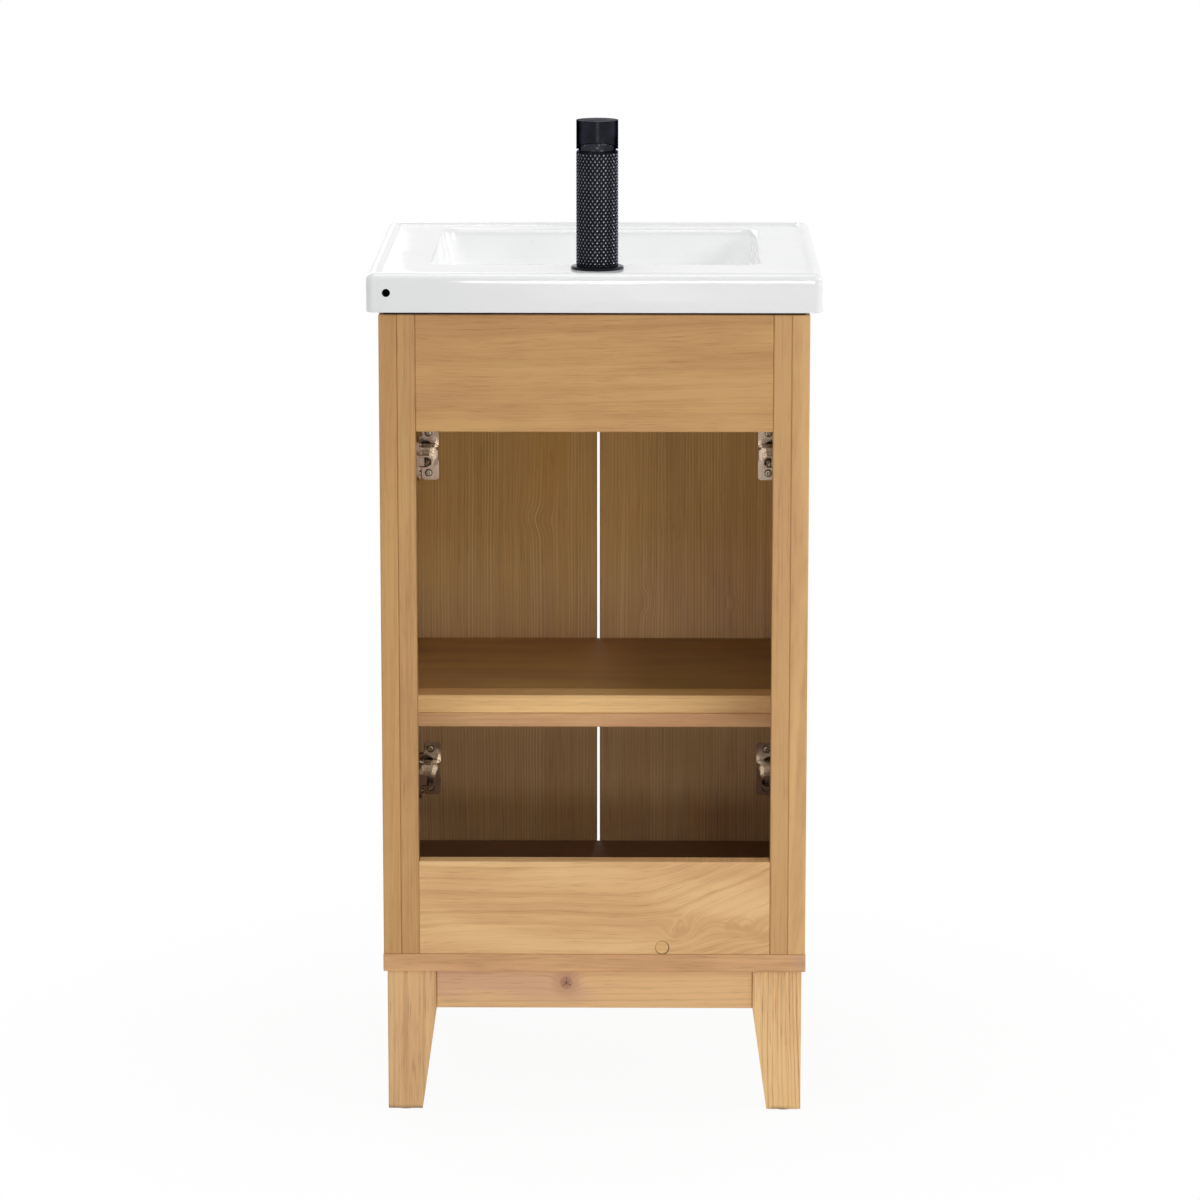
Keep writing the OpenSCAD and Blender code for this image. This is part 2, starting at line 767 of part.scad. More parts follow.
module drain_nut() {
  color(steel) placed() at_drain() difference() {
    translate([0, 0, nut_bottom]) cylinder(d = drain_nut_dia, h = drain_nut_h, $fn = 6);
    translate([0, 0, nut_bottom - 1])
      cylinder(d = drain_body_dia + 2 * drop_fit, h = drain_nut_h + 2);
  }
}

// The drain body is a tube with a narrower tail, and a bridge inside that guides the stopper's stem
module drain_body() {
  r = drain_body_dia / 2;
  step_z = drain_z - tail_step;
  color(black) placed() at_drain() {
    tube(r, r - drain_wall, drain_body_len, drain_z);
    tube(r, tail_dia / 2 - tail_wall, tail_step, step_z);
    tube(tail_dia / 2, tail_dia / 2 - tail_wall, tail_len, step_z - tail_len);
    difference() {
      translate([-r + 1, -bridge_w / 2, guide_z]) cube([2 * r - 2, bridge_w, bridge_t]);
      translate([0, 0, guide_z - 1]) cylinder(d = stopper_stem_dia + 2 * run_fit, h = bridge_t + 2);
    }
  }
}

// The stopper rests on the flange, and its thin stem slides in the bridge
module drain_stopper() {
  z = drain_top + seat_gap;
  color(black) placed() at_drain() {
    translate([0, 0, z]) cylinder(d = stopper_dia, h = stopper_t);
    translate([0, 0, guide_foot]) cylinder(d = stopper_stem_dia, h = z + 1 - guide_foot);
  }
}

module at_tap() {
  translate([-tap_side, -tap_back, 0]) children();
}

module tap_ring() {
  color(black) placed() at_tap() translate([0, 0, ring_z]) rotate_extrude() difference() {
    union() {
      square([tap_ring_dia / 2, tap_ring_h - 1]);
      square([tap_ring_dia / 2 - 1, tap_ring_h]);
    }
    translate([0, -1]) square([stud_dia / 2 + drop_fit, tap_ring_h + 2]);
  }
}

module tap_body() {
  r = tap_dia / 2;
  spout_z = body_z + spout_up;
  color(black) placed() at_tap() difference() {
    translate([0, 0, body_z]) cylinder(r = r, h = tap_h);
    translate([0, 0, cartridge_top - cartridge_h])
      cylinder(d = cartridge_dia + 2 * drop_fit, h = cartridge_h + cartridge_sink + 1);
    translate([0, 0, body_z - 1]) cylinder(d = stud_dia + 2 * drop_fit, h = stud_in + seat_gap + 1);
    translate([0, 0, spout_z]) rotate([90, 0, 0])
      cylinder(d = spout_dia + 2 * drop_fit, h = r + 1);
  }
}

module tap_spout() {
  r = spout_dia / 2;
  color(black) placed() at_tap() translate([0, 0, body_z + spout_up]) difference() {
    rotate([90, 0, 0]) cylinder(r = r, h = spout_len);
    rotate([90, 0, 0]) translate([0, 0, spout_root])
      cylinder(r = r - spout_wall, h = spout_len - spout_root - spout_wall);
    translate([0, aerator_y, -r - 1]) cylinder(d = aerator_dia + 2 * drop_fit, h = r);
  }
}

module tap_aerator() {
  z = body_z + spout_up - spout_dia / 2 - aerator_h;
  color("silver") placed() at_tap() translate([0, aerator_y, z]) difference() {
    cylinder(d = aerator_dia, h = aerator_h + aerator_up);
    translate([0, 0, -1]) cylinder(d = aerator_dia - 2 * aerator_rim, h = aerator_mouth + 1);
  }
}

module tap_cartridge() {
  color("ivory") placed() at_tap()
    tube(cartridge_dia / 2, stem_dia / 2 + run_fit, cartridge_h, cartridge_top - cartridge_h);
}

// The dome turns with the handle. Its stem runs down in the cartridge, and the tilt pin crosses it.
module tap_dome() {
  bottom = cartridge_top + seat_gap;
  ledge = body_top + seat_gap;
  color("#3a3d42") placed() at_tap() difference() {
    union() {
      intersection() {
        translate([0, 0, tilt_z]) sphere(d = dome_dia);
        translate([0, 0, ledge]) cylinder(d = 2 * dome_dia, h = dome_dia);
      }
      translate([0, 0, bottom]) cylinder(d = cartridge_dia - 1, h = ledge + 1 - bottom);
      translate([0, 0, bottom - cartridge_h + stem_gap]) cylinder(d = stem_dia, h = cartridge_h);
    }
    translate([-dome_dia, 0, tilt_z]) rotate([0, 90, 0])
      cylinder(d = tilt_pin_dia + 2 * run_fit, h = 2 * dome_dia);
  }
}

module tilt_pin() {
  color(steel) placed() at_tap() translate([-tilt_pin_half, 0, tilt_z]) rotate([0, 90, 0])
    cylinder(d = tilt_pin_dia, h = 2 * tilt_pin_half);
}

// The handle cap is a hollow drum. Its back half is cut on a slope, so that it can tilt.
module tap_cap() {
  r = cap_r;
  color(black) placed() at_tap() difference() {
    translate([0, 0, cap_z]) cylinder(r = r, h = cap_h);
    translate([0, 0, cap_z - 1]) cylinder(r = r - cap_wall, h = cap_h - cap_top_t + 1);
    translate([0, 0, cap_z]) rotate([90, 0, 90]) translate([0, 0, -r - 1]) linear_extrude(2 * r + 2)
      polygon([[0, 0], [r + 2, cap_cut_h * (r + 2) / r], [r + 2, -1], [0, -1]]);
    translate([-tilt_pin_half - 0.1, 0, tilt_z]) rotate([0, 90, 0])
      cylinder(d = tilt_pin_dia + 2 * pin_fit, h = 2 * tilt_pin_half + 0.2);
    translate([0, -r + 2 * cap_wall, cap_z + lever_up]) rotate([90, 0, 0])
      cylinder(d = lever_dia + 2 * drop_fit, h = 3 * cap_wall);
  }
}

module tap_lever() {
  length = lever_out + cap_wall;
  color(black) placed() at_tap() translate([0, -cap_r + cap_wall, cap_z + lever_up])
    rotate([90, 0, 0]) {
      cylinder(d = lever_dia, h = length);
      translate([0, 0, length]) sphere(d = lever_dia);
    }
}

module tap_stud() {
  color(steel) placed() at_tap() translate([0, 0, deck_z - stud_len])
    cylinder(d = stud_dia, h = stud_len + stud_in);
}

module stud_washer() {
  color(steel) placed() at_tap()
    tube(stud_washer_dia / 2, stud_dia / 2 + drop_fit, stud_washer_t, slab_z - stud_washer_t);
}

module stud_nut() {
  z = slab_z - stud_washer_t - stud_nut_h;
  color(steel) placed() at_tap() difference() {
    translate([0, 0, z]) cylinder(d = stud_nut_dia, h = stud_nut_h, $fn = 6);
    translate([0, 0, z - 1]) cylinder(d = stud_dia + 2 * drop_fit, h = stud_nut_h + 2);
  }
}

// The frame of one hinge: X 0 and Y 0 on the hinge pin, Z 0 at its middle, for the left side
module at_hinges(side) {
  on_side(side) for (z = hinge_zs) translate([door_out - pin_in, door_back - pin_deep, z]) children();
}

module door(side) {
  color("sandybrown") placed() difference() {
    on_side(side)
      board_from([door_split / 2, door_front, door_z], [door_out, door_back, door_top], door_ease_r);
    at_hinges(side) {
      translate([cup_x, pin_deep + 1, 0]) rotate([90, 0, 0])
        cylinder(d = cup_dia + 2 * drop_fit, h = cup_deep + drop_fit + 1);
      for (z = [-1, 1] * flange_screws / 2) translate([screw_x, pin_deep + 1, z]) rotate([90, 0, 0])
        cylinder(d = hinge_screw_dia + drop_fit, h = hinge_screw_len + 2);
    }
    at_knob(side) translate([0, 0, -door_t - 1])
      cylinder(d = knob_screw_dia + 2 * drop_fit, h = door_t + 2);
  }
}

// A cup: its shell in the door, its flange on the door, and two lugs that hold the pin
module cup() {
  difference() {
    union() {
      translate([cup_x, pin_deep, 0]) rotate([90, 0, 0]) cylinder(r = cup_r, h = cup_deep);
      translate([cup_x, pin_deep + cup_rim_t, 0]) rotate([90, 0, 0])
        cylinder(r = cup_r + cup_rim_w, h = cup_rim_t);
      translate([screw_x - flange_in, pin_deep + flange_t, -flange_h / 2]) rotate([90, 0, 0])
        linear_extrude(flange_t) round_rect(flange_w, flange_h, flange_r);
    }
    difference() {
      translate([cup_x, pin_deep + 2 * flange_t, 0]) rotate([90, 0, 0])
        cylinder(r = cup_r - cup_wall, h = cup_deep + 2 * flange_t - cup_wall);
      for (z = [-lug_z - lug_t, lug_z]) translate([-lug_r, -pin_deep - cup_deep, z])
        cube([cup_r, pin_deep + cup_deep + lug_r - cup_rim_t, lug_t]);
    }
    translate([0, 0, -pin_half - 0.2]) cylinder(d = pin_dia + 2 * pin_fit, h = 2 * pin_half + 0.4);
    for (z = [-1, 1] * flange_screws / 2) translate([screw_x, pin_deep + flange_t + 1, z])
      rotate([90, 0, 0]) cylinder(d = hinge_screw_dia + 2 * drop_fit, h = flange_t + 2);
  }
}

module hinge_cups(side) {
  color(steel) placed() at_hinges(side) cup();
}

module hinge_pins(side) {
  color("gray") placed() at_hinges(side) translate([0, 0, -pin_half])
    cylinder(d = pin_dia, h = 2 * pin_half);
}

// The arm: a knuckle on the pin, a hook out of the cup, and a bevelled channel along the side panel
module arm() {
  half = knuckle_w / 2;
  hook = hook_t / 2;
  difference() {
    union() {
      translate([0, 0, -half]) cylinder(d = knuckle_dia, h = knuckle_w);
      translate([0, 0, -half]) linear_extrude(knuckle_w)
        polygon([[0, -hook], [-hook_len, -hook], [arm_x - hook_t - drop_fit, arm_y + 1],
          [arm_x - drop_fit, arm_y + 1], [-hook_len + 0.75 * hook_t, hook], [0, hook]]);
      translate([0, arm_y, 0]) difference() {
        union() {
          arm_channel(hood_len, arm_w, arm_out, 0);
          arm_channel(arm_len, arm_tail_w, arm_tail_out, 0);
        }
        translate([0, 2, 0]) {
          arm_channel(hood_len - 2 - arm_wall, arm_w, arm_out, arm_wall);
          arm_channel(arm_len, arm_tail_w, arm_tail_out, arm_wall);
        }
      }
    }
    translate([0, 0, -half - 1]) cylinder(d = pin_dia + 2 * run_fit, h = knuckle_w + 2);
  }
}

// A trapezium carried along Y, with its wide side at the mounting plate
module arm_channel(length, width, out, inset) {
  wide = width / 2 - inset;
  narrow = wide - arm_bevel * 0.75;
  far = arm_x - out + inset;
  near = inset > 0 ? arm_x + 1 : arm_x;
  rotate([-90, 0, 0]) linear_extrude(length)
    polygon([[near, -wide], [near, wide], [far + arm_bevel, wide], [far, narrow],
      [far, -narrow], [far + arm_bevel, -wide]]);
}

module hinge_arms(side) {
  color(steel) placed() at_hinges(side) arm();
}

// A mounting plate: two wings up and down the panel, and a long block that carries the arm
module plate() {
  difference() {
    union() {
      translate([wall_x - plate_t, plate_y - wing_w / 2, -plate_h / 2]) rotate([90, 0, 90])
        linear_extrude(plate_t) round_rect(wing_w, plate_h, wing_r);
      translate([wall_x - plate_t, plate_y - plate_len / 2, -plate_mid_w / 2])
        cube([plate_t, plate_len, plate_mid_w]);
      translate([wall_x - plate_t - plate_block_h, arm_y + plate_block_in, -plate_block_w / 2])
        cube([plate_block_h + plate_t / 2, plate_block_len, plate_block_w]);
    }
    at_plate_screws() translate([0, 0, -plate_t - 1])
      cylinder(d = hinge_screw_dia + 2 * drop_fit, h = plate_t + 2);
  }
}

module hinge_plates() {
  color(steel) placed() for (s = [-1, 1]) at_hinges(s) plate();
}

// The two screw holes of a mounting plate, with Z 0 on the side panel's face and +Z into the panel
module at_plate_screws() {
  for (z = [-1, 1] * plate_screws / 2) translate([wall_x, plate_y, z]) rotate([0, 90, 0]) children();
}

// Screws of the mounting plates, from the plate into the side panel
module hinge_screws() {
  color(steel) placed() for (s = [-1, 1]) at_hinges(s) at_plate_screws() {
    translate([0, 0, -plate_t - hinge_head_h]) cylinder(d = hinge_head_dia - 1, h = hinge_head_h);
    translate([0, 0, -plate_t]) cylinder(d = hinge_screw_dia, h = plate_t + hinge_screw_len);
  }
}

// A knob turned about its own axis, which runs out from the door
module knob(side) {
  r = knob_dia / 2;
  n = knob_neck_dia / 2;
  head_z = knob_out - knob_head_h;
  color(black) placed() at_knob(side) rotate_extrude() difference() {
    polygon([[0, 0], [n + knob_foot_w, 0], [n + knob_foot_w, knob_foot_h], [n, knob_foot_h],
      [n, head_z - knob_flare_h], [r - knob_edge, head_z], [r, head_z + knob_edge],
      [r, knob_out - knob_edge], [r - knob_edge, knob_out], [0, knob_out]]);
    translate([0, -1]) square([(knob_screw_dia + drop_fit) / 2, knob_screw_in + 2]);
  }
}

// The axis of a knob, with Z 0 on the face of its door and +Z out from it
module at_knob(side) {
  on_side(side) translate([knob_x, door_front, knob_z]) rotate([90, 0, 0]) children();
}

// Screws on one door: the knob's screw from behind, and the four flange screws of its hinges
module door_screws(side) {
  color(steel) placed() {
    at_knob(side) translate([0, 0, -door_t]) {
      translate([0, 0, -knob_screw_head_h]) cylinder(d = 2 * knob_screw_dia, h = knob_screw_head_h);
      cylinder(d = knob_screw_dia, h = door_t + knob_screw_in);
    }
    at_hinges(side) for (z = [-1, 1] * flange_screws / 2)
      translate([screw_x, pin_deep + flange_t, z]) rotate([90, 0, 0]) {
        translate([0, 0, -hinge_head_h]) cylinder(d = hinge_head_dia, h = hinge_head_h);
        cylinder(d = hinge_screw_dia, h = hinge_screw_len);
      }
  }
}

module door_bumpers() {
  color("whitesmoke") placed()
    for (s = [-1, 1], x = [door_split / 2 + bumper_in, inner_w - bumper_in])
      translate([s * x, rail_face, door_top - front_rail_lap / 2]) rotate([90, 0, 0])
        cylinder(d = bumper_dia, h = bumper_t - seat_gap);
}

color(wood) placed() side_panel(1);  // side_panel_left
color(wood) placed() side_panel(-1);  // side_panel_right
color(wood) placed() back_post(1);  // back_post_left
color(wood) placed() back_post(-1);  // back_post_right
back_top_rail();
back_low_rail();
rail_plug();
base_board();
floor_board();
shelf_board();
shelf_lipping();
shelf_rail();
shelf_cleats();
front_rail();
front_panel();
corner_blocks();
leg(1, true);  // leg_back_left
leg(-1, true);  // leg_back_right
leg(1, false);  // leg_front_left
leg(-1, false);  // leg_front_right
apron_back();
apron_front();
apron_side(1);  // apron_left
apron_side(-1);  // apron_right
leg_bolts();
foot_glides();
sink_seal();
sink_top();
drain_flange();
drain_gasket();
drain_nut();
drain_body();
drain_stopper();
tap_ring();
tap_body();
tap_cartridge();
tap_dome();
tilt_pin();
tap_cap();
tap_lever();
tap_spout();
tap_aerator();
tap_stud();
stud_washer();
stud_nut();
door(1);  // door_left
door(-1);  // door_right
knob(1);  // knob_left
knob(-1);  // knob_right
door_screws(1);  // door_screws_left
door_screws(-1);  // door_screws_right
door_bumpers();
hinge_cups(1);  // hinge_cups_left
hinge_cups(-1);  // hinge_cups_right
hinge_arms(1);  // hinge_arms_left
hinge_arms(-1);  // hinge_arms_right
hinge_plates();
hinge_pins(1);  // hinge_pins_left
hinge_pins(-1);  // hinge_pins_right
hinge_screws();
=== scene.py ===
import math
import bmesh
import bpy
import numpy as np
from mathutils import Matrix, Vector


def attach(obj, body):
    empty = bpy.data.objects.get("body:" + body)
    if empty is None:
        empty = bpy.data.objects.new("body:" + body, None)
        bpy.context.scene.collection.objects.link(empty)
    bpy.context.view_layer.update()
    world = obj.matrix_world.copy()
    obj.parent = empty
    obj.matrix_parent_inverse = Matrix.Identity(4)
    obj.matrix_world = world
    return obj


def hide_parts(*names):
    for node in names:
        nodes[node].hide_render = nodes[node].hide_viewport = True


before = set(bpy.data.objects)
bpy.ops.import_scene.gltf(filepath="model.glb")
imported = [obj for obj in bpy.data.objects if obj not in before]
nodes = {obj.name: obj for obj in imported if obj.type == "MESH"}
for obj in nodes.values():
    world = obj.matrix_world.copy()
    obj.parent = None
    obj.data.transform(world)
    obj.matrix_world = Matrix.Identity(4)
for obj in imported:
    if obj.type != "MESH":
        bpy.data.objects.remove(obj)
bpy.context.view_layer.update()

# Sizes in millimetres, in the cabinet's frame: +Z up, the doors face -Y, the open back faces +Y
BACK = 225.5                        # back of the wooden box
SLAB_Z = 846.4                      # underside of the ceramic slab
SLAB_TOP = 886.8                    # top of its raised rim
DECK_Z = 884.3                      # its deck, inside the rim
SLAB_BACK = BACK + 3
SLAB_FRONT = BACK - 442
SLAB_W = 464.5
SLAB_R = 8                          # upright corners of the slab
EDGE_R = 7.5                        # its round upper edge
LOWER_EDGE_R = 1.6
RIM_W = 13                          # width of the raised rim
BASIN_W = 342                       # the bowl at its mouth
BASIN_BACK = BACK - 92
BASIN_FRONT = BACK - 392
BASIN_FLOOR = 776.3
BASIN_WALL = 9                      # thickness of the bowl
BASIN_LEAN = 14                     # how far its walls lean in
FOOT_R = 38                         # round between floor and wall
MOUTH_R = 20                        # corners of the mouth
LIP_R = 6                           # round over the mouth's edge
LIP_INSET = 0.6                     # how far the wall stands inside the mouth's outline
FLOOR_RISE = 2                      # from the drain to the foot of the walls
DRAIN_R = 23.0                      # hole in the bowl's floor
DRAIN_SEAT_R = 32.2                 # end of the flat round it
TAP_X = -2.5
TAP_Y = BACK - 60
TAP_HOLE_R = 17
BODY_Z = 887.1                      # foot of the tap's knurled body
BODY_TOP = 1005.5
BODY_R = 21.8
VENT_X = 211.65                     # kiln vent hole in the slab's back edge
VENT_Z = 866.8
VENT_R = 4.15
VENT_DEPTH = 16
GLAZE_SHARP = 50                    # degrees from which an edge of the ceramic top stays sharp
DOOR_BACK = BACK - 414
DOOR_FACE = BACK - 432
HINGE_Z = (272.3, 632.2)            # middles of the lower and upper hinges
CUP_SCREW_X = 188.7                 # screws of the hinge cups' flanges, from the cabinet's middle
CUP_SCREW_Z = 22.5                  # and above and below the hinge's middle
FLANGE_H = 1.2                      # thickness of the cups' flanges
PLATE_SCREW_X = 196.5               # screws of the mounting plates
PLATE_SCREW_Y = BACK - 373.5
PLATE_SCREW_Z = 16
KNOB_X = 33.5
KNOB_Z = 671.0

# Middles and half sizes of the two outlines of the ceramic top
BOWL = np.array([0.0, (BASIN_BACK + BASIN_FRONT) / 2])
BOWL_HALF = np.array([BASIN_W / 2, (BASIN_BACK - BASIN_FRONT) / 2])
SLAB = np.array([0.0, (SLAB_BACK + SLAB_FRONT) / 2])
SLAB_HALF = np.array([SLAB_W / 2, (SLAB_BACK - SLAB_FRONT) / 2])


# Finishes

class Value:
    """One socket of a finish. The signs + - * / on it add Math nodes."""

    def __init__(self, finish, socket):
        self.finish = finish
        self.socket = socket

    def maths(self, operation, *others, clamp=False):
        values = dict(enumerate((self, *others)))
        return self.finish.node("ShaderNodeMath", {"operation": operation, "use_clamp": clamp}, values)

    def __add__(self, other):
        return self.maths("ADD", other)

    def __sub__(self, other):
        return self.maths("SUBTRACT", other)

    def __mul__(self, other):
        return self.maths("MULTIPLY", other)

    def __truediv__(self, other):
        return self.maths("DIVIDE", other)

    def __rsub__(self, other):
        return self.finish.node("ShaderNodeMath", {"operation": "SUBTRACT"}, {0: other, 1: self})

    def __rtruediv__(self, other):
        return self.finish.node("ShaderNodeMath", {"operation": "DIVIDE"}, {0: other, 1: self})

    __radd__ = __add__
    __rmul__ = __mul__

    def length(self, other):
        """Length of the flat vector (self, other)."""
        return (self * self + other * other).maths("SQRT")

    def step(self, low, high, to_low=0.0, to_high=1.0):
        """Goes smoothly from to_low to to_high while the value goes from low to high."""
        return self.finish.node("ShaderNodeMapRange", {"interpolation_type": "SMOOTHSTEP"},
                                {0: self, 1: low, 2: high, 3: to_low, 4: to_high})

    def between(self, low, high):
        """1 where the value lies between low and high, otherwise 0."""
        return self.maths("GREATER_THAN", low) * self.maths("LESS_THAN", high)


class Finish:
    """A material, built from nodes that read the object's own coordinates."""

    def __init__(self, name):
        self.material = bpy.data.materials.new(name)
        self.material.use_nodes = True
        self.tree = self.material.node_tree
        self.tree.nodes.clear()
        self.place = self.node("ShaderNodeTexCoord", out="Object")

    def node(self, kind, settings=None, values=None, out=0):
        """Adds one node: first its settings, then a number, colour or link for each of its sockets."""
        made = self.tree.nodes.new(kind)
        for key, value in (settings or {}).items():
            setattr(made, key, value)
        for key, value in (values or {}).items():
            if isinstance(value, Value):
                self.tree.links.new(value.socket, made.inputs[key])
            else:
                made.inputs[key].default_value = value
        return Value(self, made.outputs[out])

    def axes(self):
        """The three object coordinates as separate values, in metres."""
        split = self.tree.nodes.new("ShaderNodeSeparateXYZ")
        self.tree.links.new(self.place.socket, split.inputs[0])
        return {name: Value(self, split.outputs[i]) for i, name in enumerate("xyz")}

    def point(self, x, y, z):
        """Three values as one vector."""
        return self.node("ShaderNodeCombineXYZ", None, {0: x, 1: y, 2: z})

    def noise(self, where, scale=1.0, detail=2.0, rough=0.5):
        """Smooth noise round 0.5. Its cells are about 1 / scale wide in where."""
        return self.node("ShaderNodeTexNoise", {"noise_dimensions": "3D"},
                         {"Vector": where, "Scale": scale, "Detail": detail, "Roughness": rough})

    def blend(self, a, b, amount, kind="MIX"):
        """The colour a where amount is 0 and b, or with the kind MULTIPLY a times b, where it is 1.
        Of the node's sockets, 6, 7 and output 2 are the ones for colours."""
        return self.node("ShaderNodeMix", {"data_type": "RGBA", "blend_type": kind},
                         {0: amount, 6: a, 7: b}, out=2)

    def bump(self, height, distance):
        """The surface's normal, bent as if it rose by distance in metres where height is 1."""
        return self.node("ShaderNodeBump", None, {"Height": height, "Distance": distance})

    def surface(self, colour, roughness, normal, **constants):
        """Joins colour, roughness and bump to the shader. The other sockets get plain numbers."""
        values = {"Base Color": colour, "Roughness": roughness, "Normal": normal}
        values.update({key.replace("_", " "): value for key, value in constants.items()})
        return self.finished(self.node("ShaderNodeBsdfPrincipled", None, values))

    def finished(self, shader):
        """Joins the shader to the output and gives the material."""
        made = self.tree.nodes.new("ShaderNodeOutputMaterial")
        self.tree.links.new(shader.socket, made.inputs["Surface"])
        return self.material


def rgba(*colour):
    """A colour of three numbers as the nodes want it, fully opaque."""
    return (*colour, 1.0)


def shaded(colour, share):
    """The colour, darkened to a share of itself."""
    return rgba(*(c * share for c in colour))


def stained(colour, tone):
    """The colour times the tone, kept under the whitest that wood can be."""
    return rgba(*(min(c * t, 0.95) for c, t in zip(colour, tone)))


def near_line(u, v, a, b):
    """Distance of the point (u, v) from the straight line between a and b."""
    du = b[0] - a[0]
    dv = b[1] - a[1]
    run = du * du + dv * dv
    share = ((u - a[0]) * (du / run) + (v - a[1]) * (dv / run)).maths("ADD", 0.0, clamp=True)
    return (u - a[0] - share * du).length(v - a[1] - share * dv)


# Colours of the stained softwood
HONEY = (0.600, 0.352, 0.148)
HONEY_DARK = (0.430, 0.228, 0.090)
HONEY_PINK = (0.570, 0.300, 0.140)
FADED = (0.700, 0.455, 0.215)
AMBER = (0.500, 0.272, 0.112)
PORE = (0.52, 0.46, 0.50)           # tone of the short dark dashes
KNOT_EDGE = rgba(0.47, 0.255, 0.145)
KNOT_HEART = rgba(0.36, 0.175, 0.105)
KNOT_CRACK = rgba(0.085, 0.040, 0.024)
PLUG_GAP = rgba(0.13, 0.07, 0.03)
FLOOR_DIRT = rgba(0.10, 0.07, 0.055)
# Cracks in a knot: the direction of each in degrees, and its length as a share of the knot's radius
KNOT_CRACKS = ((95, 0.62), (158, 0.38), (214, 0.66), (268, 0.30), (312, 0.60), (18, 0.36))


def knot_marks(f, colour, u, v, bend, knot):
    """A knot (u, v, radius): a soft dark edge, a darker heart, and thin cracks from its middle."""
    ku, kv, radius = knot
    rim = (u - ku).length(v - kv) + (bend - 0.5) * 0.003
    colour = f.blend(colour, KNOT_EDGE, rim.step(radius * 2.6, radius * 0.9) * 0.6)
    colour = f.blend(colour, KNOT_HEART, rim.step(radius, radius * 0.70) * 0.75)
    for degrees, reach in KNOT_CRACKS:
        turn = math.radians(degrees)
        tip = (ku + reach * radius * math.cos(turn), kv + reach * radius * math.sin(turn))
        crack = near_line(u, v, (ku, kv), tip) + (bend - 0.5) * 0.0008
        colour = f.blend(colour, KNOT_CRACK, crack.step(0.0008, 0.0002) * 0.75)
    return colour


def plug_gap(f, colour, u, v, plug):
    """The thin dark line round a flush plug (u, v, radius), wider on one side than on the other."""
    pu, pv, radius = plug
    rim = (u - pu + 0.0004).length(v - pv + 0.0004)
    return f.blend(colour, PLUG_GAP, rim.step(radius + 0.0016, radius + 0.0003) * 0.85)


